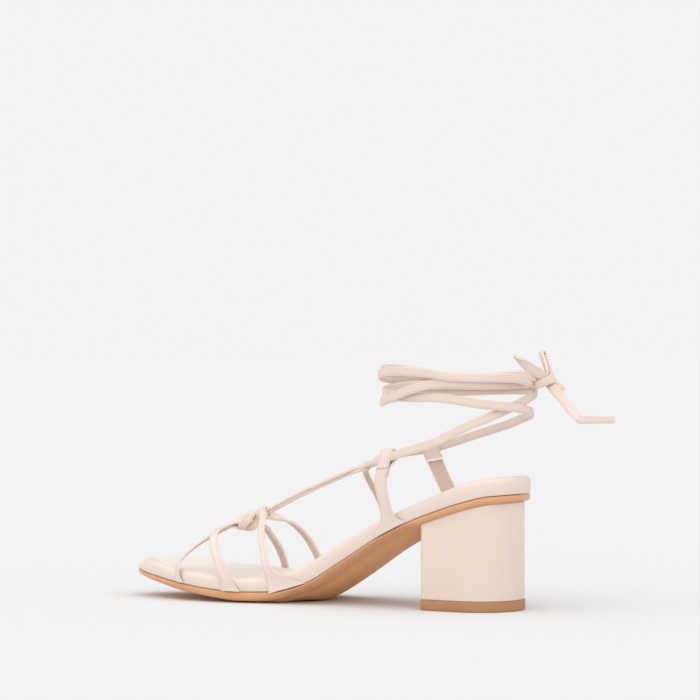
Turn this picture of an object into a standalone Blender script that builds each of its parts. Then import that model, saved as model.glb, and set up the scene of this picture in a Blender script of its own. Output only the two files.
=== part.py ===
"""Heeled sandal for the right foot: block heel, knotted vamp straps, lace keepers and a long ankle lace.

Sizes are in millimetres and become metres when a mesh is made. X runs from the toe (-) to the heel (+),
-Y is the medial side, +Y the lateral side and +Z is up. The origin lies on the floor under the heel.
A station is a distance from the back of the footbed, measured towards the toe.
"""
import math
from collections import namedtuple

import bmesh
import bpy
from mathutils import Matrix, Vector

MM = 0.001
CLEARANCE = 0.3

# Footbed and outsole: driving sizes
HEEL_BACK_X = 26.0
SOLE_LENGTH = 231.0
STATION_COUNT = 40
OUTSOLE_EDGE = 4.0
TREAD_INSET = 6.5
INSOLE_INSET = 3.4
INSOLE_RECESS = 0.9

# A row for each section of the last: half widths, then heights of tread, rim and crown of the foot
Section = namedtuple("Section", "station medial lateral tread rim_base rim_top crown")
SECTIONS = [
    Section(0.0, 0.0, 0.0, 56.3, 60.5, 69.3, 135.0),
    Section(10.0, 20.2, 20.2, 55.8, 60.0, 68.7, 132.0),
    Section(25.0, 25.8, 25.8, 52.6, 56.8, 65.3, 122.0),
    Section(45.0, 25.5, 26.5, 45.7, 50.0, 57.4, 104.0),
    Section(60.0, 24.5, 27.5, 39.5, 43.9, 51.1, 92.0),
    Section(72.0, 24.0, 28.5, 33.8, 38.3, 46.0, 84.0),
    Section(96.0, 24.5, 31.5, 19.5, 24.0, 32.9, 72.0),
    Section(117.0, 27.5, 34.5, 7.0, 11.5, 20.7, 62.5),
    Section(134.0, 31.5, 36.7, 0.0, 6.9, 14.6, 55.0),
    Section(155.0, 36.2, 37.0, 0.0, 6.3, 12.9, 47.0),
    Section(162.0, 37.2, 35.4, 0.0, 6.8, 13.5, 44.0),
    Section(174.0, 37.5, 31.0, 2.6, 8.0, 15.0, 39.5),
    Section(192.0, 35.0, 24.5, 5.8, 10.2, 16.5, 33.0),
    Section(208.0, 30.5, 16.5, 8.7, 12.5, 18.5, 28.0),
    Section(220.0, 24.0, 8.0, 10.4, 14.0, 19.6, 25.0),
    Section(227.0, 18.0, 0.5, 11.6, 15.0, 20.2, 23.0),
    Section(SOLE_LENGTH, 9.5, -9.5, 12.2, 15.3, 20.3, 22.5),
]

# Heel
HEEL_RADIUS = 23.2
HEEL_BREAST_X = -22.0
HEEL_CORNER = 2.0
LIFT_HEIGHT = 5.5
HEEL_ARC_STEPS = 20

# Straps and lace: width and thickness of the covered strips
STRAP_THICKNESS = 1.9
VAMP_WIDTH = 4.6
FRONT_KEEPER_WIDTH = 4.8
REAR_KEEPER_WIDTH = 6.0
LACE_WIDTH = 4.8
LACE_THICKNESS = 2.4
KEEPER_SLACK = 1.15
FLAP_LENGTH = 8.0
BASE_BLEND = 12.0
ROUTE_STEP = 3.6
LACE_STEP = 7.0

# A row for each point of a strap: station, sideways place, height and width
Point = namedtuple("Point", "station side height width")
MEDIAL_FRONT_STRAP = [
    Point(186.5, -37.4, 9.9, 7.5), Point(188.4, -37.6, 12.5, 5.6), Point(189.6, -36.9, 16.0, VAMP_WIDTH),
    Point(190.2, -35.2, 19.8, VAMP_WIDTH), Point(189.0, -31.5, 23.5, VAMP_WIDTH),
    Point(187.0, -27.0, 27.0, VAMP_WIDTH), Point(183.5, -22.0, 31.0, VAMP_WIDTH),
    Point(180.0, -17.5, 34.0, VAMP_WIDTH), Point(175.5, -11.5, 37.2, VAMP_WIDTH),
    Point(169.0, -4.0, 40.0, VAMP_WIDTH),
]
MEDIAL_BACK_STRAP = [
    Point(155.5, -37.9, 6.7, 10.5), Point(157.0, -38.5, 10.4, 7.0), Point(159.2, -38.7, 14.6, 5.2),
    Point(162.5, -37.6, 20.0, VAMP_WIDTH), Point(167.5, -34.0, 26.5, VAMP_WIDTH),
    Point(172.0, -28.5, 31.8, VAMP_WIDTH), Point(175.0, -22.5, 36.2, VAMP_WIDTH),
    Point(175.0, -16.0, 39.8, VAMP_WIDTH), Point(172.0, -10.0, 42.4, VAMP_WIDTH),
    Point(167.0, -3.0, 44.2, VAMP_WIDTH),
]
LATERAL_FRONT_STRAP = [
    Point(166.0, 35.7, 7.3, 9.5), Point(166.6, 36.2, 11.0, 6.6), Point(167.2, 36.2, 15.5, 5.0),
    Point(168.0, 35.0, 22.0, VAMP_WIDTH), Point(168.5, 31.0, 27.8, VAMP_WIDTH),
    Point(169.3, 25.0, 33.0, VAMP_WIDTH), Point(169.4, 19.0, 37.0, VAMP_WIDTH),
    Point(169.0, 9.0, 40.3, VAMP_WIDTH), Point(168.0, 0.0, 42.0, VAMP_WIDTH),
]
LATERAL_BACK_STRAP = [
    Point(145.5, 38.6, 6.6, 9.5), Point(146.2, 39.0, 10.4, 6.6), Point(146.8, 39.1, 14.8, 5.0),
    Point(147.5, 38.8, 20.0, VAMP_WIDTH), Point(151.0, 36.3, 28.3, VAMP_WIDTH),
    Point(154.0, 31.5, 34.8, VAMP_WIDTH), Point(156.3, 26.0, 39.0, VAMP_WIDTH),
    Point(159.7, 19.0, 42.2, VAMP_WIDTH), Point(163.0, 12.0, 43.4, VAMP_WIDTH),
    Point(166.0, 2.0, 43.8, VAMP_WIDTH),
]
# The two turns of the knot, each hooked round the other
KNOT_MEDIAL_TURN = [
    Point(170.0, -7.0, 39.0, VAMP_WIDTH), Point(167.5, 0.0, 38.6, VAMP_WIDTH),
    Point(165.0, 5.0, 40.5, VAMP_WIDTH), Point(164.6, 6.0, 43.6, VAMP_WIDTH),
    Point(165.8, 2.5, 46.2, VAMP_WIDTH), Point(168.0, -4.0, 45.6, VAMP_WIDTH),
    Point(171.5, -9.0, 42.6, VAMP_WIDTH),
]
KNOT_LATERAL_TURN = [
    Point(168.5, 10.0, 40.4, VAMP_WIDTH), Point(169.5, 2.0, 41.6, VAMP_WIDTH),
    Point(169.3, -5.0, 41.8, VAMP_WIDTH), Point(167.0, -8.6, 43.0, VAMP_WIDTH),
    Point(164.6, -5.5, 44.6, VAMP_WIDTH), Point(164.0, 2.0, 44.6, VAMP_WIDTH),
    Point(163.5, 10.0, 43.4, VAMP_WIDTH),
]

# The legs of the keepers, from the sole to just short of their fold round the lace
MEDIAL_FRONT_KEEPER = [
    Point(126.0, -30.8, 9.2, 18.0), Point(127.6, -31.8, 12.6, 12.5), Point(130.4, -32.9, 16.6, 8.2),
    Point(134.5, -33.0, 21.4, 5.8), Point(139.4, -30.5, 27.0, FRONT_KEEPER_WIDTH),
    Point(144.0, -25.5, 33.0, FRONT_KEEPER_WIDTH), Point(148.5, -19.5, 39.0, FRONT_KEEPER_WIDTH),
    Point(152.5, -13.2, 46.2, FRONT_KEEPER_WIDTH),
]
LATERAL_FRONT_KEEPER = [
    Point(99.0, 33.3, 22.4, 12.0), Point(100.0, 34.0, 26.6, 8.0), Point(100.4, 34.2, 31.5, 5.8),
    Point(99.6, 32.6, 41.0, FRONT_KEEPER_WIDTH), Point(97.8, 26.8, 52.5, FRONT_KEEPER_WIDTH),
    Point(95.8, 18.6, 61.5, FRONT_KEEPER_WIDTH), Point(94.0, 9.5, 69.4, FRONT_KEEPER_WIDTH),
]
MEDIAL_REAR_KEEPER = [
    Point(60.5, -25.8, 44.0, 15.0), Point(62.6, -26.6, 48.2, 10.0), Point(65.0, -27.5, 53.0, 7.2),
    Point(67.0, -28.6, 59.0, REAR_KEEPER_WIDTH), Point(68.0, -29.0, 66.0, REAR_KEEPER_WIDTH),
    Point(67.5, -29.0, 73.0, REAR_KEEPER_WIDTH),
]
LATERAL_REAR_KEEPER = [
    Point(56.0, 28.5, 45.6, 13.5), Point(57.8, 29.2, 49.8, 9.4), Point(59.8, 29.6, 54.6, 7.0),
    Point(62.0, 29.8, 60.0, REAR_KEEPER_WIDTH), Point(65.5, 29.5, 67.0, REAR_KEEPER_WIDTH),
    Point(68.0, 29.0, 73.5, REAR_KEEPER_WIDTH),
]

# The lace over the instep, from its turn behind the knot to the keepers at the ankle
LACE_PAIR_SIDE = -3.5
LACE_PAIR_PITCH = 5.4
LACE_TURN_X = -134.0
LacePoint = namedtuple("LacePoint", "x side height")
LACE_MEDIAL_RUN = [
    LacePoint(-128.0, -6.2, 47.7), LacePoint(-106.5, -6.3, 56.0), LacePoint(-77.5, -6.8, 68.2),
    LacePoint(-64.0, -7.3, 73.4), LacePoint(-52.0, -17.5, 78.2), LacePoint(-39.7, -26.3, 81.4),
    LacePoint(-26.0, -32.6, 84.2),
]
LACE_LATERAL_RUN = [
    LacePoint(-128.0, -0.8, 47.7), LacePoint(-106.5, -0.9, 56.0), LacePoint(-77.5, -1.4, 68.2),
    LacePoint(-64.0, -1.8, 73.4), LacePoint(-55.0, 13.5, 77.6), LacePoint(-43.0, 26.3, 81.5),
]

# The rings round the ankle: an oval in plan, then a row for each stop on the way round it.
# A turn of 0 is at the front, 90 on the medial side, 180 at the back; spread is out from the oval.
RING_X = -11.8
RING_HALF_LENGTH = 39.1
RING_HALF_WIDTH = 35.5
RING_START_HEIGHT = 84.0
RING_TURN_STEP = 11.0
Stop = namedtuple("Stop", "turn height spread")
MEDIAL_RINGS = [
    Stop(95.0, 88.0, 0.5), Stop(124.0, 96.5, 0.0), Stop(158.0, 104.0, -1.0), Stop(176.0, 107.9, -0.6),
    Stop(205.0, 111.8, 1.0), Stop(248.0, 112.9, 3.0), Stop(296.0, 111.9, 3.0), Stop(320.0, 111.5, 3.0),
    Stop(351.0, 109.1, 2.6), Stop(388.0, 106.9, 2.4), Stop(417.0, 109.6, 2.8), Stop(449.0, 115.6, 2.8),
    Stop(465.0, 117.2, 2.2), Stop(500.0, 117.2, 0.6), Stop(528.0, 116.6, -1.6), Stop(560.0, 119.6, -2.2),
    Stop(600.0, 123.0, -0.6), Stop(632.0, 122.4, 0.4), Stop(672.0, 123.1, 0.4), Stop(694.0, 125.0, 1.0),
    Stop(720.0, 125.6, 1.8), Stop(748.0, 125.3, 1.8), Stop(790.0, 123.8, 0.4), Stop(830.0, 122.6, 0.2),
    Stop(870.0, 122.6, 0.6), Stop(896.0, 122.6, 1.4),
]
LATERAL_RINGS = [
    Stop(304.0, 84.4, 1.0), Stop(276.0, 90.7, 1.5), Stop(249.0, 96.2, 1.5), Stop(231.0, 99.3, 1.8),
    Stop(190.0, 102.4, 2.0), Stop(167.0, 104.2, 2.0), Stop(131.0, 106.6, 1.2), Stop(102.0, 109.6, 0.2),
    Stop(66.0, 109.8, 0.0), Stop(48.0, 111.2, 0.6), Stop(20.0, 112.7, 1.3), Stop(-9.0, 114.6, 0.6),
    Stop(-32.0, 115.3, 0.4), Stop(-88.0, 115.2, 0.4), Stop(-116.0, 116.0, 0.4), Stop(-160.0, 117.2, 0.6),
    Stop(-187.0, 118.3, 2.2), Stop(-206.0, 119.7, 3.5), Stop(-250.0, 120.9, 3.5), Stop(-267.0, 122.2, 3.5),
    Stop(-290.0, 123.2, 3.5), Stop(-311.0, 122.6, 3.5), Stop(-332.0, 121.0, 3.5), Stop(-369.0, 118.4, 3.5),
    Stop(-393.0, 118.1, 3.3), Stop(-446.0, 118.7, 3.3), Stop(-480.0, 119.5, 3.3), Stop(-529.0, 120.3, 3.4),
]

# The bow behind the heel
BOW_CORD = 3.0
BOW_STEP = 6.0
BOW_KNOT_CENTRE = (33.6, 9.0, 119.4)
BOW_KNOT_SIZE = (5.0, 12.0, 6.4)
BOW_KNOT_TURN = math.radians(25.0)
BOW_LEFT_ROUTE = [
    (33.6, 5.6, 122.0), (32.2, 2.2, 126.4), (25.8, -5.0, 132.4), (22.8, -8.8, 132.2), (24.8, -8.8, 129.0),
    (30.8, -4.8, 126.2), (34.4, -0.2, 122.2), (35.3, 2.5, 117.2), (38.8, 2.6, 113.2), (47.6, -1.4, 107.6),
    (57.0, -7.6, 101.2), (61.4, -9.2, 99.4), (68.2, -7.5, 99.6), (77.1, -5.5, 99.9),
]
BOW_RIGHT_ROUTE = [
    (33.6, 10.8, 124.2), (31.8, 13.4, 129.0), (28.8, 17.0, 134.6), (26.8, 19.0, 135.6), (27.4, 20.8, 133.2),
    (30.6, 18.8, 127.4), (34.4, 16.6, 122.6), (37.6, 16.0, 118.4), (40.8, 17.6, 113.4),
]

Finish = namedtuple("Finish", "color roughness")
NUDE = Finish((0.76, 0.56, 0.46), 0.35)
NUDE_DEEP = Finish((0.70, 0.50, 0.41), 0.45)
TAN = Finish((0.50, 0.23, 0.08), 0.45)
BROWN = Finish((0.36, 0.17, 0.07), 0.55)


def clear_scene():
    """Empties the scene before the sandal is built."""
    for thing in list(bpy.data.objects):
        bpy.data.objects.remove(thing, do_unlink=True)


def new_collection(name):
    """Adds a collection to the scene."""
    collection = bpy.data.collections.new(name)
    bpy.context.scene.collection.children.link(collection)
    return collection


def material(name, finish):
    """One Principled material with a colour and a roughness."""
    made = bpy.data.materials.new(name)
    made.use_nodes = True
    shader = made.node_tree.nodes["Principled BSDF"]
    shader.inputs["Base Color"].default_value = (*finish.color, 1.0)
    shader.inputs["Roughness"].default_value = finish.roughness
    shader.inputs["Metallic"].default_value = 0.0
    made.diffuse_color = (*finish.color, 1.0)
    return made


def add_object(name, mesh, collection, finish):
    """Puts a mesh in the scene as one named sub-part."""
    made = bpy.data.objects.new(name, mesh)
    mesh.materials.append(material(name, finish))
    collection.objects.link(made)
    return made


def mesh_from_bmesh(name, shape):
    """Finishes a bmesh: outward normals, smooth shading with sharp corners, metres."""
    bmesh.ops.recalc_face_normals(shape, faces=shape.faces)
    if shape.calc_volume(signed=True) < 0.0:
        bmesh.ops.reverse_faces(shape, faces=shape.faces)
    bmesh.ops.scale(shape, vec=(MM, MM, MM), verts=shape.verts)
    mesh = bpy.data.meshes.new(name)
    shape.to_mesh(mesh)
    shape.free()
    mesh.shade_smooth()
    mesh.set_sharp_from_angle(angle=math.radians(40.0))
    return mesh


def stretched(station):
    """A station from 0 at the heel to 1 at the toe, opened out so that both ends come out round."""
    share = min(max(station / SOLE_LENGTH, 0.0), 1.0)
    return math.acos(1.0 - 2.0 * share) / math.pi


def end_slope(near, far, near_slope, far_slope):
    """One-sided slope of a monotone cubic at its first or last row."""
    slope = ((2.0 * near + far) * near_slope - near * far_slope) / (near + far)
    if slope * near_slope <= 0.0:
        return 0.0
    if near_slope * far_slope <= 0.0 and abs(slope) > 3.0 * abs(near_slope):
        return 3.0 * near_slope
    return slope


def column_curve(column):
    """Knots, values and slopes of a smooth curve through one column of the section table."""
    knots = [stretched(row.station) for row in SECTIONS]
    values = [getattr(row, column) for row in SECTIONS]
    steps = [b - a for a, b in zip(knots, knots[1:])]
    rises = [(b - a) / h for a, b, h in zip(values, values[1:], steps)]
    slopes = [end_slope(steps[0], steps[1], rises[0], rises[1])]
    for left, right, before, after in zip(rises, rises[1:], steps, steps[1:]):
        if left * right <= 0.0:
            slopes.append(0.0)
        else:
            first = 2.0 * after + before
            second = after + 2.0 * before
            slopes.append((first + second) / (first / left + second / right))
    slopes.append(end_slope(steps[-1], steps[-2], rises[-1], rises[-2]))
    return knots, values, slopes


CURVES = {column: column_curve(column) for column in Section._fields[1:]}


def last_size(column, station):
    """One size of the last at a station."""
    knots, values, slopes = CURVES[column]
    place = stretched(station)
    index = max(i for i in range(len(knots) - 1) if knots[i] <= place)
    step = knots[index + 1] - knots[index]
    t = (place - knots[index]) / step
    return ((1 + 2 * t) * (1 - t) ** 2 * values[index] + t * (1 - t) ** 2 * step * slopes[index]
            + t * t * (3 - 2 * t) * values[index + 1] + t * t * (t - 1) * step * slopes[index + 1])


def stations():
    """Stations from heel to toe, close together at both round ends."""
    turns = [math.pi * i / STATION_COUNT for i in range(STATION_COUNT + 1)]
    return [SOLE_LENGTH * (1.0 - math.cos(turn)) / 2.0 for turn in turns]


def plan_outline():
    """The footbed's outline in plan: heel point, medial side, toe point, lateral side."""
    places = stations()
    inner = places[1:-1]
    outline = [(places[0], 0.0)]
    outline += [(place, -last_size("medial", place)) for place in inner]
    outline += [(places[-1], -last_size("medial", places[-1]))]
    outline += [(place, last_size("lateral", place)) for place in reversed(inner)]
    return outline


def outline_normals(outline):
    """Outward normals of a closed outline of (station, side) points."""
    normals = []
    for index in range(len(outline)):
        before = Vector(outline[index - 1])
        after = Vector(outline[(index + 1) % len(outline)])
        along = (after - before).normalized()
        normals.append(Vector((along.y, -along.x)))
    middle = Vector((SOLE_LENGTH / 2.0, 0.0))
    if (Vector(outline[0]) - middle).dot(normals[0]) < 0.0:
        normals = [-normal for normal in normals]
    return normals


def ring_stack(name, rings):
    """Closed solid from outline rings, bottom to top, filled by strips across the sole."""
    outline = plan_outline()
    normals = outline_normals(outline)
    shape = bmesh.new()
    loops = []
    for offset, height in rings:
        loop = []
        for (station, side), normal in zip(outline, normals):
            moved = Vector((station, side)) + normal * offset
            loop.append(shape.verts.new((HEEL_BACK_X - moved.x, moved.y, height(station))))
        loops.append(loop)
    count = len(outline)
    for low, high in zip(loops, loops[1:]):
        for i in range(count):
            j = (i + 1) % count
            shape.faces.new((low[i], low[j], high[j], high[i]))
    for loop in (loops[0], loops[-1]):
        half = count // 2
        shape.faces.new((loop[0], loop[1], loop[count - 1]))
        for i in range(1, half - 1):
            shape.faces.new((loop[i], loop[i + 1], loop[count - i - 1], loop[count - i]))
        shape.faces.new((loop[half - 1], loop[half], loop[half + 1]))
    bmesh.ops.triangulate(shape, faces=[f for f in shape.faces if len(f.verts) > 3])
    return mesh_from_bmesh(name, shape)


def height_of(column, raised=0.0):
    """A height function for ring_stack, from a column of the section table."""
    return lambda station: last_size(column, station) + raised


def make_outsole(parts):
    """Tan sole: thin upright edge, then a bevel to the tread, flat on the floor at the ball."""
    def edge_base(station):
        return max(last_size("rim_base", station) - OUTSOLE_EDGE, last_size("tread", station) + 0.1)
    rings = [
        (-TREAD_INSET, height_of("tread")),
        (-0.9, edge_base),
        (-0.2, lambda station: edge_base(station) + 0.8),
        (-0.2, height_of("rim_base", -CLEARANCE)),
    ]
    return add_object("outsole", ring_stack("outsole", rings), parts, TAN)


def make_footbed(parts):
    """Wrapped board with a rounded rim and a shallow seat for the insole."""
    rings = [
        (-1.0, height_of("rim_base")),
        (-0.1, height_of("rim_base", 0.5)),
        (0.0, height_of("rim_base", 2.2)),
        (-0.2, height_of("rim_top", -2.2)),
        (-0.9, height_of("rim_top", -0.8)),
        (-2.0, height_of("rim_top", -0.1)),
        (-INSOLE_INSET, height_of("rim_top")),
        (-INSOLE_INSET - 0.1, height_of("rim_top", -INSOLE_RECESS)),
    ]
    return add_object("footbed", ring_stack("footbed", rings), parts, NUDE)


def make_insole(parts):
    """Thin sock set in the top of the footbed."""
    rings = [
        (-INSOLE_INSET - 0.5, height_of("rim_top", CLEARANCE - INSOLE_RECESS)),
        (-INSOLE_INSET - 0.5, height_of("rim_top", -0.1)),
        (-INSOLE_INSET - 1.1, height_of("rim_top", 0.2)),
    ]
    return add_object("insole", ring_stack("insole", rings), parts, NUDE_DEEP)


def heel_outline():
    """Half of the heel's D-shaped plan on the lateral side, from the back to the breast."""
    half = []
    for i in range(HEEL_ARC_STEPS + 1):
        turn = 0.5 * math.pi * i / HEEL_ARC_STEPS
        half.append((HEEL_RADIUS * math.cos(turn), HEEL_RADIUS * math.sin(turn)))
    half.append((0.5 * HEEL_BREAST_X, HEEL_RADIUS))
    for i in range(5):
        turn = 0.5 * math.pi * i / 4
        half.append((HEEL_BREAST_X + HEEL_CORNER * (1.0 - math.sin(turn)),
                     HEEL_RADIUS - HEEL_CORNER * (1.0 - math.cos(turn))))
    half.append((HEEL_BREAST_X, 0.5 * HEEL_RADIUS))
    return half


def heel_solid(name, base, top):
    """D-shaped prism between two heights given as functions of a station."""
    half = heel_outline()
    outline = half + [(x, -y) for x, y in reversed(half) if y > 0.0]
    shape = bmesh.new()
    loops = []
    for height in (base, top):
        loops.append([shape.verts.new((x, y, height(HEEL_BACK_X - x))) for x, y in outline])
    count = len(outline)
    for i in range(count):
        j = (i + 1) % count
        shape.faces.new((loops[0][i], loops[0][j], loops[1][j], loops[1][i]))
    for loop in loops:
        shape.faces.new((loop[0], loop[1], loop[count - 1]))
        for i in range(1, (count - 1) // 2):
            shape.faces.new((loop[i], loop[i + 1], loop[count - i - 1], loop[count - i]))
    bmesh.ops.triangulate(shape, faces=[f for f in shape.faces if len(f.verts) > 3])
    return mesh_from_bmesh(name, shape)


def make_heel(parts):
    """Block under the seat and lift under the block."""
    block = heel_solid("heel_block", lambda station: LIFT_HEIGHT + CLEARANCE, height_of("tread", -CLEARANCE))
    lift = heel_solid("top_lift", lambda station: 0.0, lambda station: LIFT_HEIGHT)
    add_object("heel_block", block, parts, NUDE)
    add_object("top_lift", lift, parts, BROWN)


def last_field(spot):
    """How far a spot lies out from the foot: 1 on the skin of the last."""
    station = HEEL_BACK_X - spot.x
    base = last_size("rim_top", station)
    crown = last_size("crown", station)
    half = last_size("medial", station) if spot.y < 0.0 else last_size("lateral", station)
    rise = max(spot.z - base, 0.0) / (crown - base)
    return (spot.y / max(half, 4.0)) ** 2 + rise ** 2


def last_normal(spot):
    """Outward direction from the last at a spot."""
    step = 0.5
    slopes = []
    for axis in (Vector((step, 0, 0)), Vector((0, step, 0)), Vector((0, 0, step))):
        slopes.append(last_field(spot + axis) - last_field(spot - axis))
    return Vector(slopes).normalized()


def smooth_route(points, step):
    """Even points on a smooth curve through the route's own points."""
    ends = [2 * points[0] - points[1]] + list(points) + [2 * points[-1] - points[-2]]
    fine = []
    for p0, p1, p2, p3 in zip(ends, ends[1:], ends[2:], ends[3:]):
        for i in range(12):
            t = i / 12.0
            fine.append(0.5 * (2 * p1 + (p2 - p0) * t + (2 * p0 - 5 * p1 + 4 * p2 - p3) * t ** 2
                               + (3 * p1 - p0 - 3 * p2 + p3) * t ** 3))
    fine.append(points[-1].copy())
    lengths = [0.0]
    for a, b in zip(fine, fine[1:]):
        lengths.append(lengths[-1] + (b.to_3d() - a.to_3d()).length)
    count = max(2, round(lengths[-1] / step))
    route = []
    index = 0
    for i in range(count + 1):
        want = lengths[-1] * i / count
        while index < len(fine) - 2 and lengths[index + 1] < want:
            index += 1
        share = (want - lengths[index]) / max(lengths[index + 1] - lengths[index], 1e-9)
        route.append(fine[index].lerp(fine[index + 1], min(max(share, 0.0), 1.0)))
    return route


def tangents_of(route):
    """Directions along a route."""
    spots = [spot.to_3d() for spot in route]
    pairs = zip([spots[0]] + spots[:-1], spots[1:] + [spots[-1]])
    return [(after - before).normalized() for before, after in pairs]


def sideways(route, outs):
    """Directions across a strip whose flat side faces outwards."""
    return [along.cross(out).normalized() for along, out in zip(tangents_of(route), outs)]


def sole_line(row, across):
    """Direction of the sole's edge under a strap, pointing the same way as a given one."""
    column = "medial" if row.side < 0.0 else "lateral"
    hand = -1.0 if row.side < 0.0 else 1.0
    ends = []
    for station in (row.station + 1.0, row.station - 1.0):
        ends.append(Vector((HEEL_BACK_X - station, hand * last_size(column, station),
                            last_size("rim_base", station))))
    line = (ends[1] - ends[0]).normalized()
    return line if line.dot(across) > 0.0 else -line


def seated(route, across, row):
    """Turns the foot of a strap so that its end lies along the sole's edge."""
    line = sole_line(row, across[0])
    turned = []
    gone = 0.0
    previous = route[0].to_3d()
    for spot, natural in zip(route, across):
        gone += (spot.to_3d() - previous).length
        previous = spot.to_3d()
        share = min(gone / BASE_BLEND, 1.0)
        share = share * share * (3.0 - 2.0 * share)
        turned.append(line.lerp(natural, share).normalized())
    return turned


def strip_mesh(name, route, across, thickness):
    """Covered strip swept along a route of (x, y, z, width), spread in the directions across it."""
    section = [(-0.5, -0.2), (-0.38, -0.5), (0.38, -0.5), (0.5, -0.2),
               (0.5, 0.2), (0.38, 0.5), (-0.38, 0.5), (-0.5, 0.2)]
    shape = bmesh.new()
    loops = []
    for spot, along, side in zip(route, tangents_of(route), across):
        face = side.cross(along).normalized()
        centre = spot.to_3d()
        loops.append([shape.verts.new(centre + side * (a * spot.w) + face * (b * thickness))
                      for a, b in section])
    count = len(section)
    for low, high in zip(loops, loops[1:]):
        for i in range(count):
            j = (i + 1) % count
            shape.faces.new((low[i], low[j], high[j], high[i]))
    for loop in (loops[0], loops[-1]):
        shape.faces.new(loop)
    return mesh_from_bmesh(name, shape)


def table_route(rows):
    """Route of (x, y, z, width) from a strap table."""
    points = [Vector((HEEL_BACK_X - row.station, row.side, row.height, row.width)) for row in rows]
    return smooth_route(points, ROUTE_STEP)


def carried_normals(route, start):
    """Normals carried along a route without turning about it."""
    along = tangents_of(route)
    out = (start - along[0] * start.dot(along[0])).normalized()
    outs = [out]
    for before, after in zip(along, along[1:]):
        out = before.rotation_difference(after) @ out
        outs.append(out)
    return outs


def join_meshes(name, meshes, parts, cutters, finish):
    """One solid from overlapping meshes by Boolean union."""
    whole = add_object(name, meshes[0], parts, finish)
    for number, mesh in enumerate(meshes[1:], start=1):
        piece = bpy.data.objects.new(f"{name}_piece_{number}", mesh)
        piece.hide_render = True
        piece.display_type = "WIRE"
        cutters.objects.link(piece)
        union = whole.modifiers.new(f"join_{number}", "BOOLEAN")
        union.operation = "UNION"
        union.solver = "EXACT"
        union.object = piece
    return whole


def make_vamp(parts, cutters):
    """Four straps lasted over the rim, joined in the knot on the vamp."""
    meshes = []
    for rows in (MEDIAL_FRONT_STRAP, MEDIAL_BACK_STRAP, LATERAL_FRONT_STRAP, LATERAL_BACK_STRAP):
        route = table_route(rows)
        across = sideways(route, [last_normal(spot.to_3d()) for spot in route])
        meshes.append(strip_mesh("vamp_strap", route, seated(route, across, rows[0]), STRAP_THICKNESS))
    for rows in (KNOT_MEDIAL_TURN, KNOT_LATERAL_TURN):
        route = table_route(rows)
        outs = carried_normals(route, last_normal(route[0].to_3d()))
        meshes.append(strip_mesh("knot_turn", route, sideways(route, outs), STRAP_THICKNESS))
    join_meshes("vamp_straps", meshes, parts, cutters, NUDE)


def lace_start(side):
    """First points of one half of the lace, from its turn behind the knot."""
    middle = Vector((LACE_TURN_X, LACE_PAIR_SIDE, 45.6))
    corner = Vector((LACE_TURN_X + 1.4, LACE_PAIR_SIDE + side * 0.44 * LACE_PAIR_PITCH, 46.2))
    return [middle - Vector((0.6, side * 0.6, 0.2)), corner]


def ring_points(stops):
    """Points on the way round the ankle."""
    points = []
    for turn, height, spread in smooth_route([Vector(stop) for stop in stops], RING_TURN_STEP):
        angle = math.radians(turn)
        points.append(Vector((RING_X - (RING_HALF_LENGTH + spread) * math.cos(angle),
                              -(RING_HALF_WIDTH + spread) * math.sin(angle), height)))
    return points


def lace_route(run, stops, side):
    """Route of one half of the lace."""
    points = lace_start(side) + [Vector(point) for point in run] + ring_points(stops)
    return smooth_route([Vector((*point, LACE_WIDTH)) for point in points], LACE_STEP)


def lace_normals(route):
    """Flat side of the lace: out from the last over the instep, out from the ankle in the rings."""
    outs = []
    for spot in route:
        if spot.z < RING_START_HEIGHT:
            outs.append(last_normal(spot.to_3d()))
        else:
            outs.append(Vector((spot.x - RING_X, spot.y, 0.0)).normalized())
    smooth = []
    for index in range(len(outs)):
        near = outs[max(index - 1, 0):index + 2]
        smooth.append(sum(near, Vector()).normalized())
    return smooth


def make_lace(parts, cutters):
    """The doubled lace over the instep and its rings round the ankle, joined where it crosses."""
    meshes = []
    halves = ((LACE_MEDIAL_RUN, MEDIAL_RINGS, -1.0), (LACE_LATERAL_RUN, LATERAL_RINGS, 1.0))
    for run, stops, side in halves:
        route = lace_route(run, stops, side)
        meshes.append(strip_mesh("lace_half", route, sideways(route, lace_normals(route)), LACE_THICKNESS))
    join_meshes("ankle_lace", meshes, parts, cutters, NUDE)


def keeper_route(rows, lace_spot, lace_along, lace_half_width, out):
    """Leg of a keeper, its fold over the lace and the flap that comes back under the leg."""
    leg = [Vector((HEEL_BACK_X - row.station, row.side, row.height, row.width)) for row in rows]
    width = rows[-1].width
    along = lace_along.normalized()
    out = (out - along * out.dot(along)).normalized()
    away = along.cross(out)
    if away.dot(lace_spot - leg[-1].to_3d()) < 0.0:
        away = -away
    reach = lace_half_width + KEEPER_SLACK + 0.5 * STRAP_THICKNESS
    rise = 0.5 * LACE_THICKNESS + KEEPER_SLACK + 0.5 * STRAP_THICKNESS
    flat = max(reach - rise, 0.0)

    def spot(across, up):
        return Vector((*(lace_spot + away * across + out * up), width))

    fold = [spot(-0.8 * flat, rise), spot(flat, rise)]
    for degrees in (45.0, 0.0, -45.0):
        turn = math.radians(degrees)
        fold.append(spot(flat + rise * math.cos(turn), rise * math.sin(turn)))
    fold += [spot(flat, -rise), spot(-0.8 * flat, -rise)]
    layer = STRAP_THICKNESS + CLEARANCE
    head = smooth_route(leg + fold[:1], 1.5)
    tail_along = tangents_of(head)
    flap = []
    for distance in (0.45 * FLAP_LENGTH, FLAP_LENGTH):
        index = len(head) - 1 - round((distance + reach) / 1.5)
        across = tail_along[index].cross(along)
        inward = across if across.dot(out) < 0.0 else -across
        flap.append(head[index] + (inward.normalized() * layer).to_4d() - Vector((0, 0, 0, 1)))
    for point in flap:
        point.w = width
    return smooth_route(leg + fold + flap, ROUTE_STEP * 0.6)


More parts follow.
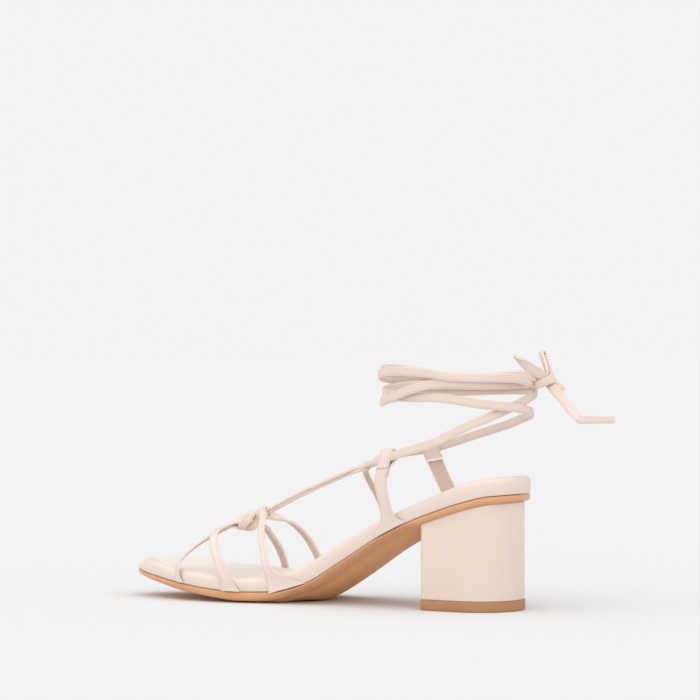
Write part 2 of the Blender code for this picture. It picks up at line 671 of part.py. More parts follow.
def make_keeper(name, rows, lace_points, lace_half_width, parts):
    """One keeper strap round the lace between two lace points."""
    before, after = (Vector(point) for point in lace_points)
    lace_spot = (before + after) / 2.0
    along = (after - before).normalized()
    route = keeper_route(rows, lace_spot, along, lace_half_width, last_normal(lace_spot))
    directions = tangents_of(route)
    base_across = directions[0].cross(last_normal(route[0].to_3d()))
    base_across = sole_line(rows[0], base_across)
    top_across = along if along.dot(base_across) > 0.0 else -along
    turn_end = 0.45 * len(route)
    across = [base_across.lerp(top_across, min(index / turn_end, 1.0)).normalized()
              for index in range(len(route))]
    add_object(name, strip_mesh(name, route, across, STRAP_THICKNESS), parts, NUDE)


def make_keepers(parts):
    """Two keepers round both halves of the lace on the instep, and one at each side of the ankle."""
    pair = 0.5 * (LACE_PAIR_PITCH + LACE_WIDTH)
    single = 0.5 * LACE_WIDTH
    front = [(-132.6, LACE_PAIR_SIDE, 46.0), (-127.0, LACE_PAIR_SIDE, 48.2)]
    upper = [(-71.5, -4.3, 70.5), (-63.5, -4.5, 73.6)]
    make_keeper("keeper_medial_front", MEDIAL_FRONT_KEEPER, front, pair, parts)
    make_keeper("keeper_lateral_front", LATERAL_FRONT_KEEPER, upper, pair, parts)
    make_keeper("keeper_medial_rear", MEDIAL_REAR_KEEPER, [(-45.0, -22.9, 80.2), (-34.4, -29.0, 82.5)],
                single, parts)
    make_keeper("keeper_lateral_rear", LATERAL_REAR_KEEPER, [(-48.6, 22.0, 79.9), (-38.2, 29.5, 83.2)],
                single, parts)


def make_cord(name, route, parts):
    """Plain round cord along a free stretch of the lace."""
    curve = bpy.data.curves.new(name, "CURVE")
    curve.dimensions = "3D"
    curve.bevel_depth = 0.5 * BOW_CORD * MM
    curve.bevel_resolution = 2
    curve.use_fill_caps = True
    points = smooth_route([Vector(point) for point in route], BOW_STEP * 0.5)
    spline = curve.splines.new("POLY")
    spline.points.add(len(points) - 1)
    for target, point in zip(spline.points, points):
        target.co = (*(point * MM), 1.0)
    curve.materials.append(material(name, NUDE))
    cord = bpy.data.objects.new(name, curve)
    parts.objects.link(cord)


def make_bow(parts):
    """Knot of the bow and its two looped ends."""
    shape = bmesh.new()
    bmesh.ops.create_uvsphere(shape, u_segments=12, v_segments=8, radius=0.5)
    place = (Matrix.Translation(BOW_KNOT_CENTRE) @ Matrix.Rotation(BOW_KNOT_TURN, 4, "X")
             @ Matrix.Diagonal((*BOW_KNOT_SIZE, 1.0)))
    bmesh.ops.transform(shape, matrix=place, verts=shape.verts)
    add_object("bow_knot", mesh_from_bmesh("bow_knot", shape), parts, NUDE)
    make_cord("bow_left", BOW_LEFT_ROUTE, parts)
    make_cord("bow_right", BOW_RIGHT_ROUTE, parts)


def main():
    """Builds the sandal."""
    clear_scene()
    parts = new_collection("heeled_sandal")
    cutters = new_collection("strap_pieces")
    make_outsole(parts)
    make_footbed(parts)
    make_insole(parts)
    make_heel(parts)
    make_vamp(parts, cutters)
    make_keepers(parts)
    make_lace(parts, cutters)
    make_bow(parts)


main()
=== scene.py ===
# %% [markdown]
# # A strappy block-heel sandal
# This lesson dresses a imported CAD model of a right-foot sandal: a tan moulded sole, a pale blush wrapped footbed
# and heel, knotted straps over the toes and one long lace that is wound round the ankle and tied in a bow.
# The CAD solids stay in the file as a fixed frame, and each finished piece is laid over its own solid.

# %% Load the frame
import math
from collections import namedtuple

import bmesh
import bpy
import numpy as np
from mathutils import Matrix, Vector


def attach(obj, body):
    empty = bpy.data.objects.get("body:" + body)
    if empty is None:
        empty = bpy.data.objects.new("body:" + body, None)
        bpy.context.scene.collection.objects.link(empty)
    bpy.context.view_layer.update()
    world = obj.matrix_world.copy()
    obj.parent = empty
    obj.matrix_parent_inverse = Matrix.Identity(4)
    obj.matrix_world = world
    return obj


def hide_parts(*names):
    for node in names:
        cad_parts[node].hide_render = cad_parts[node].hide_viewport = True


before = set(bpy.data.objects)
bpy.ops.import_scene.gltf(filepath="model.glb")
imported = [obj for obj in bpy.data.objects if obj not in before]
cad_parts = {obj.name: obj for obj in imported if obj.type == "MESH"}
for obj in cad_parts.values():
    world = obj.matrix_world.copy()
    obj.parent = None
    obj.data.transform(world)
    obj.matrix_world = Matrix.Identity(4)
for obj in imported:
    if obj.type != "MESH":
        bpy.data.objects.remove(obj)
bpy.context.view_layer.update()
MM = 0.001
print("nodes:", ", ".join(sorted(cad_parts)))

# %% [markdown]
# The camera stands low and far away, level with the straps, so that upright edges stay upright. Its place was
# fitted to the heel, the sole and the floor line of the photograph, and a long lens keeps the perspective mild.

# %% Camera
lens = bpy.data.cameras.new("studio_camera")
lens.sensor_width = 36.0
lens.lens = 148.9
camera = bpy.data.objects.new("studio_camera", lens)
camera.location = (0.7042, -1.3244, 0.134)
camera.rotation_euler = (math.radians(90.0), 0.0, math.radians(30.567))
bpy.context.scene.collection.objects.link(camera)
bpy.context.scene.camera = camera
bpy.context.scene.view_settings.view_transform = "Standard"
print("camera lens", lens.lens, "mm")

# %% [markdown]
# Materials are node trees. One function turns a colour as a designer writes it (sRGB hex) into the linear numbers
# that the shader needs, and one function adds a node with its settings and its links, so that each material below
# reads as a short list.

# %% Colours and nodes


def linear(hex_colour):
    """Linear RGBA from an sRGB hex colour."""
    parts = [int(hex_colour[i:i + 2], 16) / 255.0 for i in (1, 3, 5)]
    return tuple(p / 12.92 if p <= 0.04045 else ((p + 0.055) / 1.055) ** 2.4 for p in parts) + (1.0,)


def node(tree, kind, inputs=None, **settings):
    """Adds one node, with its settings, and its sockets set or linked."""
    made = tree.nodes.new(kind)
    for key, value in settings.items():
        setattr(made, key, value)
    for key, value in (inputs or {}).items():
        if isinstance(value, bpy.types.NodeSocket):
            tree.links.new(value, made.inputs[key])
        else:
            made.inputs[key].default_value = value
    return made


def tone_noise(tree, place, tone, shade, size_mm, detail):
    """Two tones mixed by soft noise; returns the colour and the noise that mixes them."""
    noise = node(tree, "ShaderNodeTexNoise", {"Vector": place, "Scale": 1.0 / (size_mm * MM), "Detail": detail})
    mix = node(tree, "ShaderNodeMix", {0: noise.outputs["Fac"], 6: linear(shade), 7: linear(tone)}, data_type="RGBA")
    return mix.outputs[2], noise.outputs["Fac"]


def new_material(name):
    """An empty material; returns the material, its tree and the place on the object."""
    made = bpy.data.materials.new(name)
    made.use_nodes = True
    tree = made.node_tree
    tree.nodes.clear()
    return made, tree, node(tree, "ShaderNodeTexCoord").outputs["Object"]


def close_material(tree, shader):
    """Links the shader to the material's output."""
    tree.links.new(shader.outputs["BSDF"], node(tree, "ShaderNodeOutputMaterial").inputs["Surface"])


print("blush as linear numbers", [round(part, 3) for part in linear("#E8D7CC")[:3]])

# %% [markdown]
# The upper is smooth polyurethane leather in a pale blush: a printed film on a fabric back. It has a soft gloss,
# a faint pebble grain under 1 mm wide and slow changes of tone over a few centimetres. Straps are folded along both
# edges, so a thin pressed line runs about 1 mm inside each edge. The straps carry two attributes: rim is the distance
# from the edge in mm, and seam is the strength of a line glued across the strap. Both lines are drawn from them.

# %% Leather
GRAIN_MM = 0.8
TONE_MM = 18.0
PRESSED = "#B08C7A"
FOLD_LINE_MM, FOLD_LINE_CORE, FOLD_LINE_EDGE = 0.95, 0.1, 0.36
FOLD_LINE_DEPTH = 2.5


def blush_leather(name, tone, shade, gloss, fold_line):
    """Smooth coated leather: fine grain, slow tone changes, and pressed lines inside folded edges and at seams."""
    made, tree, place = new_material(name)
    base, _ = tone_noise(tree, place, tone, shade, TONE_MM, 2.0)
    grain = node(tree, "ShaderNodeTexVoronoi", {"Vector": place, "Scale": 1.0 / (GRAIN_MM * MM)})
    fine = node(tree, "ShaderNodeTexNoise", {"Vector": place, "Scale": 2.2 / (GRAIN_MM * MM), "Detail": 3.0})
    height = node(tree, "ShaderNodeMath", {0: grain.outputs["Distance"], 1: fine.outputs["Fac"]}, operation="ADD")
    height = height.outputs[0]
    if fold_line:
        rim = node(tree, "ShaderNodeAttribute", attribute_name="rim")
        seam = node(tree, "ShaderNodeAttribute", attribute_name="seam")
        away = node(tree, "ShaderNodeMath", {0: rim.outputs["Fac"], 1: FOLD_LINE_MM}, operation="SUBTRACT")
        away = node(tree, "ShaderNodeMath", {0: away.outputs[0]}, operation="ABSOLUTE")
        line = node(tree, "ShaderNodeMapRange", {
            "Value": away.outputs[0], "From Min": FOLD_LINE_CORE, "From Max": FOLD_LINE_EDGE,
            "To Min": fold_line, "To Max": 0.0})
        line = node(tree, "ShaderNodeMath", {0: line.outputs["Result"], 1: seam.outputs["Fac"]}, operation="MAXIMUM")
        dark = node(tree, "ShaderNodeMix", {0: line.outputs[0], 6: base, 7: linear(PRESSED)}, data_type="RGBA")
        base = dark.outputs[2]
        sunk = node(tree, "ShaderNodeMath", {0: line.outputs[0], 1: -FOLD_LINE_DEPTH, 2: height},
                    operation="MULTIPLY_ADD")
        height = sunk.outputs[0]
    bump = node(tree, "ShaderNodeBump", {"Height": height, "Strength": 0.1, "Distance": 0.08 * MM})
    rough = node(tree, "ShaderNodeMapRange", {"Value": fine.outputs["Fac"], "To Min": gloss - 0.05,
                                              "To Max": gloss + 0.09})
    shader = node(tree, "ShaderNodeBsdfPrincipled", {
        "Base Color": base, "Roughness": rough.outputs["Result"], "Normal": bump.outputs["Normal"],
        "IOR": 1.48, "Coat Weight": 0.12, "Coat Roughness": 0.3})
    close_material(tree, shader)
    return made


STRAP_LEATHER = blush_leather("blush_strap_leather", "#E8D7CC", "#E3D0C4", 0.40, 0.3)
LACE_LEATHER = blush_leather("blush_lace_leather", "#E6D4C8", "#E1CDC0", 0.40, 0.16)
# The lace's back is the same leather a touch darker: painted shade for the side turned from the light.
LACE_BACK_PAINTED_SHADE = blush_leather("blush_lace_back_painted_shade", "#E1CFC5", "#DBC6BB", 0.46, 0.16)
FOOTBED_LEATHER = blush_leather("blush_footbed_wrap", "#E7D6CA", "#E3D0C4", 0.40, 0.0)
HEEL_LEATHER = blush_leather("blush_heel_wrap", "#E5D2C6", "#E1CDC0", 0.36, 0.0)
SOCK_LEATHER = blush_leather("blush_insole_sock", "#EEE3DC", "#EADDD4", 0.44, 0.0)
print("leathers:", STRAP_LEATHER.name, LACE_LEATHER.name, FOOTBED_LEATHER.name, HEEL_LEATHER.name, SOCK_LEATHER.name)

# %% [markdown]
# The back of each strap is lined with a mauve-grey microfibre, a short felted pile with no gloss. Where a strap is
# cut square its white core shows. The same white is laid on the sock's wall and along one keeper's edges, where it
# is partly a painted highlight. Both are drawn with fine noise: pile fibres would be too small to see, so the noise
# is drawn at half a millimetre.

# %% Lining and cut edges


def matte_fibre(name, tone, shade, grain_mm):
    """Felted or cut fibre: matte, with a fine mottle."""
    made, tree, place = new_material(name)
    colour, mottle = tone_noise(tree, place, tone, shade, grain_mm, 4.0)
    bump = node(tree, "ShaderNodeBump", {"Height": mottle, "Strength": 0.25, "Distance": 0.1 * MM})
    shader = node(tree, "ShaderNodeBsdfPrincipled", {
        "Base Color": colour, "Normal": bump.outputs["Normal"], "Roughness": 0.85, "IOR": 1.4,
        "Sheen Weight": 0.15})
    close_material(tree, shader)
    return made


LINING = matte_fibre("mauve_microfibre_lining", "#D4BFB5", "#C8B0A5", 0.5)
# This white also paints a highlight on the sock's edge and on one keeper's edges.
CUT_EDGE_AND_HIGHLIGHT = matte_fibre("white_cut_edge_and_painted_highlight", "#FAF6F3", "#F0E8E3", 0.4)
print("fibres:", LINING.name, CUT_EDGE_AND_HIGHLIGHT.name)

# %% [markdown]
# The sole is moulded thermoplastic rubber, tan right through. Its side edge is buffed to a satin gloss, and the
# tread is drier, with a fine moulded texture. Its colour is the same tan made lighter and more orange: painted light
# for the warm bounce light on the shaded underside. The lift under the heel is a browner, harder grade.

# %% Moulded rubber
CLOUD_MM = 9.0


def moulded_rubber(name, tone, shade, gloss, grain_mm, relief):
    """Moulded rubber: cloudy colour and a fine moulded grain."""
    made, tree, place = new_material(name)
    colour, _ = tone_noise(tree, place, tone, shade, CLOUD_MM, 3.0)
    grain = node(tree, "ShaderNodeTexNoise", {"Vector": place, "Scale": 1.0 / (grain_mm * MM), "Detail": 4.0})
    bump = node(tree, "ShaderNodeBump", {"Height": grain.outputs["Fac"], "Strength": relief, "Distance": 0.1 * MM})
    rough = node(tree, "ShaderNodeMapRange", {"Value": grain.outputs["Fac"], "To Min": gloss - 0.06,
                                              "To Max": gloss + 0.1})
    shader = node(tree, "ShaderNodeBsdfPrincipled", {
        "Base Color": colour, "Roughness": rough.outputs["Result"], "Normal": bump.outputs["Normal"], "IOR": 1.5})
    close_material(tree, shader)
    return made


SOLE_EDGE = moulded_rubber("tan_buffed_rubber_edge", "#DCA57A", "#D39A6E", 0.28, 0.6, 0.06)
# The tread's lighter, more orange tan is painted light for the shaded underside.
SOLE_TREAD_PAINTED_LIGHT = moulded_rubber("tan_rubber_tread_painted_light", "#ECB27F", "#E4A875", 0.5, 0.9, 0.2)
LIFT_RUBBER = moulded_rubber("brown_moulded_lift", "#B2835C", "#A77852", 0.5, 0.7, 0.2)
print("rubbers:", SOLE_EDGE.name, SOLE_TREAD_PAINTED_LIGHT.name, LIFT_RUBBER.name)

# %% [markdown]
# A shoe is built round a last, a wooden foot. The table gives it in sections from the heel (station 0) to the toe:
# how far the footbed reaches to each side, and the heights of the tread, of the rim and of the foot above it.
# A smooth curve that never overshoots runs through each column, so the sole has no dents between the rows.

# %% The last
HEEL_BACK_X = 26.0
SOLE_LENGTH = 231.5
COLUMNS = "station medial lateral tread side rim_base rim_top crown"
SECTIONS = dict(zip(COLUMNS.split(), np.array([
    (0.0, 0.0, 0.0, 56.2, 56.2, 60.2, 69.3, 135.0), (10.0, 20.2, 20.2, 55.2, 55.2, 59.3, 68.5, 132.0),
    (25.0, 25.8, 25.8, 51.7, 51.7, 55.6, 65.0, 122.0), (45.0, 25.5, 26.5, 45.2, 45.2, 49.1, 57.2, 104.0),
    (60.0, 24.5, 27.5, 39.5, 39.5, 43.4, 51.1, 92.0), (72.0, 24.0, 28.5, 33.3, 33.3, 37.7, 46.0, 84.0),
    (96.0, 24.5, 31.5, 18.4, 18.4, 23.3, 32.9, 72.0), (117.0, 27.5, 34.5, 6.4, 6.4, 11.0, 20.7, 62.5),
    (134.0, 31.5, 36.7, 0.0, 1.5, 6.5, 14.6, 55.0), (155.0, 36.2, 37.0, 0.0, 1.1, 6.0, 12.9, 47.0),
    (162.0, 37.2, 35.4, 0.5, 1.8, 6.4, 13.5, 44.0), (174.0, 37.5, 31.0, 3.2, 3.1, 7.5, 15.0, 39.5),
    (192.0, 35.0, 24.5, 6.2, 5.5, 9.6, 16.5, 33.0), (208.0, 30.5, 16.5, 8.8, 8.4, 11.9, 19.3, 28.0),
    (220.0, 24.4, 8.0, 10.4, 10.1, 13.4, 20.7, 25.0), (227.0, 19.0, 0.5, 11.6, 11.2, 14.4, 21.3, 23.5),
    (SOLE_LENGTH, 9.5, -9.5, 12.2, 11.7, 14.7, 21.4, 23.5)]).T))


def stretched(station):
    """A station as 0 at the heel to 1 at the toe, opened out so that both ends come out round."""
    return np.arccos(1.0 - 2.0 * np.clip(np.asarray(station) / SOLE_LENGTH, 0.0, 1.0)) / np.pi


def end_slope(near, far, near_slope, far_slope):
    """Slope of the curve at its first or last row."""
    slope = ((2.0 * near + far) * near_slope - near * far_slope) / (near + far)
    if slope * near_slope <= 0.0:
        return 0.0
    if near_slope * far_slope <= 0.0 and abs(slope) > 3.0 * abs(near_slope):
        return 3.0 * near_slope
    return slope


def column_slopes(values):
    """Slopes of a smooth curve through one column that never overshoots its rows."""
    step = np.diff(KNOTS)
    rise = np.diff(values) / step
    slopes = np.zeros(len(values))
    for i in range(1, len(values) - 1):
        if rise[i - 1] * rise[i] > 0.0:
            first, second = 2.0 * step[i] + step[i - 1], step[i] + 2.0 * step[i - 1]
            slopes[i] = (first + second) / (first / rise[i - 1] + second / rise[i])
    slopes[0] = end_slope(step[0], step[1], rise[0], rise[1])
    slopes[-1] = end_slope(step[-1], step[-2], rise[-1], rise[-2])
    return slopes


KNOTS = stretched(SECTIONS["station"])
SLOPES = {column: column_slopes(values) for column, values in SECTIONS.items()}


def last_size(column, station):
    """One size of the last, in mm, at a station or at an array of them."""
    place = stretched(station)
    i = np.clip(np.searchsorted(KNOTS, place, side="right") - 1, 0, len(KNOTS) - 2)
    step = KNOTS[i + 1] - KNOTS[i]
    t = (place - KNOTS[i]) / step
    values, slopes = SECTIONS[column], SLOPES[column]
    return ((1 + 2 * t) * (1 - t) ** 2 * values[i] + t * (1 - t) ** 2 * step * slopes[i]
            + t * t * (3 - 2 * t) * values[i + 1] + t * t * (t - 1) * step * slopes[i + 1])


BALL_STATION = 158.0
print("ball width", round(float(sum(last_size(side, BALL_STATION) for side in ("medial", "lateral"))), 1), "mm")

# %% [markdown]
# Every shell below starts as a flat grid from one operator. Its points are then laid where the shape has them: round
# the outline one way and up the profile the other. Grids that meet are welded by merging doubles, and loose rims are
# filled. It keeps tidy rows of quads, which take smooth shading and fine grain without dents.

# %% Grids and finished pieces
WELD_MM, SPECK_MM = 0.002, 0.001


def lay_grid(shape, places, marks=None, slots=None):
    """A grid operator's points laid at places[row][column] in mm, with marks and material slots in the same order."""
    rows, columns = len(places) - 1, len(places[0]) - 1
    layers = shape.verts.layers.float
    named = {name: layers.get(name) or layers.new(name) for name in (marks or {})}
    points = bmesh.ops.create_grid(shape, x_segments=rows, y_segments=columns, size=1.0)["verts"]
    where = {}
    for point in points:
        row = round((point.co.x + 1.0) / 2.0 * rows)
        column = round((point.co.y + 1.0) / 2.0 * columns)
        where[point] = (row, column)
        point.co = Vector(places[row][column]) * MM
        for name, layer in named.items():
            point[layer] = marks[name][row][column]
    for face in {face for point in points for face in point.link_faces}:
        face.smooth = True
        if slots is not None:
            row, column = (min(spot) for spot in zip(*(where[point] for point in face.verts)))
            face.material_index = int(slots[row][column]) if np.ndim(slots) else int(slots)


def finish_piece(name, shape, materials, node_name, sharp=60.0):
    """Welds the grids, turns faces outwards and puts the piece in the scene in place of its CAD node."""
    bmesh.ops.remove_doubles(shape, verts=shape.verts, dist=WELD_MM * MM)
    bmesh.ops.dissolve_degenerate(shape, edges=shape.edges, dist=SPECK_MM * MM)
    bmesh.ops.recalc_face_normals(shape, faces=shape.faces)
    mesh = bpy.data.meshes.new(name)
    shape.to_mesh(mesh)
    shape.free()
    for material in materials:
        mesh.materials.append(material)
    mesh.set_sharp_from_angle(angle=math.radians(sharp))
    piece = bpy.data.objects.new(name, mesh)
    bpy.context.scene.collection.objects.link(piece)
    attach(piece, "root")
    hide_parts(node_name)
    print(name, len(mesh.polygons), "faces")
    return piece


print("pieces are welded at", WELD_MM, "mm")

# %% [markdown]
# The sole has three layers: the tan outsole, the footbed (a board wrapped in leather, with a soft rim) and the thin
# sock on top. Each is a stack of rings round the same plan outline. A ring is moved in or out along the outline's
# normals and takes its height from the last, so toe spring, arch and heel seat come for free.

# %% Sole outline
STATION_COUNT = 110
FULL_DISH_WIDTH = 40.0
TURNS = np.pi * np.arange(STATION_COUNT + 1) / STATION_COUNT
STATIONS = SOLE_LENGTH * (1.0 - np.cos(TURNS)) / 2.0
OUTLINE_STATIONS = np.concatenate([STATIONS, STATIONS[-2:0:-1]])
OUTLINE = np.stack([OUTLINE_STATIONS, np.concatenate([-last_size("medial", STATIONS),
                                                      last_size("lateral", STATIONS[-2:0:-1])])], axis=1)


def plan_normals(plan):
    """Directions square to a closed plan outline."""
    along = np.roll(plan, -1, axis=0) - np.roll(plan, 1, axis=0)
    along /= np.linalg.norm(along, axis=1)[:, None]
    return np.stack([along[:, 1], -along[:, 0]], axis=1)


OUTWARD = plan_normals(OUTLINE)


def sole_ring(offset, height):
    """One ring round the sole: moved out by offset (one for all or one for each point), at a height per station."""
    moved = OUTLINE + OUTWARD * offset
    return np.stack([HEEL_BACK_X - moved[:, 0], moved[:, 1], height(OUTLINE_STATIONS)], axis=1)


def lay_rings(shape, rings, slots=None):
    """A closed wall from rings, bottom to top."""
    lay_grid(shape, [np.vstack([ring, ring[:1]]) for ring in rings], slots=slots)


def lay_cover(shape, ring, columns, dish=0.0, slots=None):
    """A cover across a ring whose two sides run from end to end; dish sinks its middle, less where it is narrow."""
    half = len(ring) // 2
    near, far = ring[:half + 1], np.vstack([ring[:1], ring[:half - 1:-1]])
    across = np.linspace(0.0, 1.0, columns + 1)
    sinks = dish * np.minimum(np.linalg.norm(far - near, axis=1) / FULL_DISH_WIDTH, 1.0)
    rows = []
    for a, b, sink in zip(near, far, sinks):
        row = a + (b - a) * across[:, None]
        row[:, 2] -= sink * (1.0 - (2.0 * across - 1.0) ** 2)
        rows.append(row)
    lay_grid(shape, rows, slots=slots)


def height_of(column, raised=0.0):
    """A height for each station from a column of the last."""
    return lambda station: last_size(column, station) + raised


print("outline points", len(OUTLINE))

# %% [markdown]
# The outsole shows a 4 mm satin edge at the ball and the heel. Under the arch, its waist, it turns under straight from
# the joint and bulges down to a keel over the shank, which ends above the floor. A rounded side whose squareness
# changes along the sole gives both. The top corner is rounded off a little, so a dark joint line appears by itself.

# %% Outsole
SIDE_REACH, WAIST_REACH = 3.2, 8.6
SIDE_SQUARENESS, WAIST_SQUARENESS = 2.6, 1.3
WAIST_BACK, WAIST_BACK_FADE = 45.0, 15.0
WAIST_FRONT, WAIST_FRONT_FADE = 145.0, 25.0
SIDE_INSET, TREAD_INSET = 0.2, 9.0
TOP_CORNER = 0.9
KEEL, KEEL_LIMIT = 4.9, 0.9
SIDE_TURNS = (90.0, 82.0, 74.0, 66.0, 58.0, 50.0, 42.0, 34.0, 26.0, 17.0, 8.0, 0.0)
PAINTED_LIGHT_RINGS = 4


def eased(value):
    """A soft step from 0 to 1."""
    value = np.clip(value, 0.0, 1.0)
    return value * value * (3.0 - 2.0 * value)


def waist_share(station):
    """1 at the waist of the sole, 0 under the heel and the ball."""
    return eased((station - WAIST_BACK) / WAIST_BACK_FADE) * eased((WAIST_FRONT - station) / WAIST_FRONT_FADE)


def sole_side(turn):
    """A ring of the outsole's rounded side: turn 0 is its upper corner, 90 its lower one, softer at the waist."""
    waist = waist_share(OUTLINE_STATIONS)
    power = 2.0 / (SIDE_SQUARENESS + (WAIST_SQUARENESS - SIDE_SQUARENESS) * waist)
    inward = 1.0 - max(math.cos(math.radians(turn)), 0.0) ** power
    down = math.sin(math.radians(turn)) ** power
    reach = SIDE_REACH + (WAIST_REACH - SIDE_REACH) * waist
    return sole_ring((-SIDE_INSET - reach * inward)[:, None], lambda station: (
        (last_size("rim_base", station) - TOP_CORNER) * (1.0 - down) + last_size("side", station) * down))


sole = bmesh.new()
side = [sole_ring(-TREAD_INSET, height_of("tread"))]
side += [sole_side(turn) for turn in SIDE_TURNS]
side += [sole_ring(offset, height_of("rim_base", raised)) for offset, raised in
         ((-0.3, -0.5), (-0.65, -0.25), (-1.4, -0.18))]
# The tread and the lowest turns of the side take the tread rubber, whose colour is painted light.
lay_rings(sole, side[:PAINTED_LIGHT_RINGS], slots=1)
lay_rings(sole, side[PAINTED_LIGHT_RINGS - 1:])
keel = np.minimum(KEEL * waist_share(STATIONS), KEEL_LIMIT * last_size("tread", STATIONS))
lay_cover(sole, side[0], 12, keel, slots=1)
lay_cover(sole, side[-1], 12)
finish_piece("moulded_outsole", sole, [SOLE_EDGE, SOLE_TREAD_PAINTED_LIGHT], "outsole", sharp=80.0)

# %% [markdown]
# The footbed's rim is leather pulled round a board: full and round at the top, tighter at the joint, and widest at the
# toe. The sock lies in a seat inside it, nearly flush. Its wall is white up to the toe: partly its cut edge, partly a
# painted highlight along the edge. Its end at the toe is rounded by averaging each point with its neighbours, because
# rings that are moved far in come out with a corner.

# %% Footbed and sock
SEAT_INSET = 3.3
TOE_FROM, TOE_FADE = 204.0, 24.0
TOE_WIDER, TOE_DEEPER = 1.1, 0.7
TOE_FALL, FALL_FROM, FALL_FADE = 1.7, 214.0, 14.0
TOE_SOFT = 12
PAINTED_HIGHLIGHT_EDGE_TO = 193.0


def upper_ring(offset, raised):
    """A ring measured from the top of the rim, which is rounder and falls away at the tip of the toe."""
    toe = eased((OUTLINE_STATIONS - TOE_FROM) / TOE_FADE)
    roll, seat = max(offset, -SEAT_INSET), min(offset + SEAT_INSET, 0.0)
    ring = sole_ring((roll * (1.0 + TOE_WIDER * toe) + seat)[:, None], height_of("rim_top"))
    fall = TOE_FALL * eased((HEEL_BACK_X - ring[:, 0] - FALL_FROM) / FALL_FADE) * eased((12.0 - ring[:, 1]) / 20.0)
    lowest = last_size("rim_base", OUTLINE_STATIONS) + 0.9 + 0.1 * (4.0 + raised)
    ring[:, 2] = np.maximum(ring[:, 2] - fall + raised * (1.0 + TOE_DEEPER * toe), lowest)
    soft = sum(np.roll(ring, shift, axis=0) for shift in range(-TOE_SOFT, TOE_SOFT + 1)) / (2 * TOE_SOFT + 1)
    return ring + (soft - ring) * (toe * np.clip(-0.55 * offset - 0.8, 0.0, 1.0))[:, None]


bed = bmesh.new()
rim = [sole_ring(offset, height_of("rim_base", raised)) for offset, raised in
       ((-1.9, 0.0), (-0.9, 0.06), (-0.4, 0.3), (-0.12, 0.8))]
rim += [upper_ring(offset, raised) for offset, raised in
        ((-0.03, -3.1), (-0.22, -2.2), (-0.5, -1.4), (-0.95, -0.78), (-1.5, -0.36), (-2.1, -0.1), (-2.7, 0.0),
         (-3.3, 0.02), (-3.5, -0.05), (-3.58, -0.4), (-3.58, -0.9))]
lay_rings(bed, rim)
lay_cover(bed, rim[0], 6)
lay_cover(bed, rim[-1], 6)
finish_piece("wrapped_footbed", bed, [FOOTBED_LEATHER], "footbed")

sock = bmesh.new()
sheet = [upper_ring(offset, raised) for offset, raised in
         ((-3.85, -0.6), (-3.62, -0.35), (-3.47, -0.1), (-3.46, 0.03), (-3.6, 0.08), (-4.4, 0.1), (-5.4, 0.1))]
edge = sheet[:4]
# The sock's wall is white up to the toe: partly its cut edge, partly a painted highlight along the edge.
lay_rings(sock, edge, slots=np.repeat((OUTLINE_STATIONS < PAINTED_HIGHLIGHT_EDGE_TO)[None, :].astype(int), len(edge), axis=0))
lay_rings(sock, sheet[3:])
lay_cover(sock, sheet[0], 6)
lay_cover(sock, sheet[-1], 16, dish=0.5)
finish_piece("glued_sock", sock, [SOCK_LEATHER, CUT_EDGE_AND_HIGHLIGHT], "insole")

# %% [markdown]
# The heel is a D in plan: a round back and a flat breast. The block is wrapped in leather with soft corners, and its
# top follows the slope of the sole and is tucked against it. The rubber lift below reaches a hair past the wrap.

# %% Heel
HEEL_RADIUS = 23.2
HEEL_BREAST_X = -22.7
HEEL_CORNER = 2.0
LIFT_HEIGHT = 5.5


def heel_half():
    """Half of the heel's plan on the medial side, from the back to the middle of the breast."""
    turn = np.radians(np.linspace(0.0, 90.0, 40))
    half = [(HEEL_RADIUS * c, -HEEL_RADIUS * s) for c, s in zip(np.cos(turn), np.sin(turn))]
    half += [(x, -HEEL_RADIUS) for x in np.linspace(0.0, HEEL_BREAST_X + HEEL_CORNER, 12)[1:]]
    bend = np.radians(np.linspace(0.0, 90.0, 9))[1:]
    half += [(HEEL_BREAST_X + HEEL_CORNER * (1 - math.sin(a)), -HEEL_RADIUS + HEEL_CORNER * (1 - math.cos(a)))
             for a in bend]
    half += [(HEEL_BREAST_X, y) for y in np.linspace(-HEEL_RADIUS + HEEL_CORNER, 0.0, 8)[1:]]
    return np.array(half)


NEAR_HALF = heel_half()
HEEL_PLAN = np.vstack([NEAR_HALF, NEAR_HALF[-2:0:-1] * (1.0, -1.0)])
HEEL_OUT = -plan_normals(HEEL_PLAN)


def heel_ring(offset, height):
    """One ring round the heel, with a height for each station."""
    moved = HEEL_PLAN + HEEL_OUT * offset
    return np.column_stack([moved, np.broadcast_to(height(HEEL_BACK_X - moved[:, 0]), len(moved))])


def heel_piece(name, rings, materials, node_name):
    """A D-shaped prism with rounded rims from rings, bottom to top."""
    shape = bmesh.new()
    lay_rings(shape, rings)
    lay_cover(shape, rings[0], 1)
    lay_cover(shape, rings[-1], 1)
    finish_piece(name, shape, materials, node_name, sharp=55.0)


def level(height):
    """The same height at each station."""
    return lambda station: height


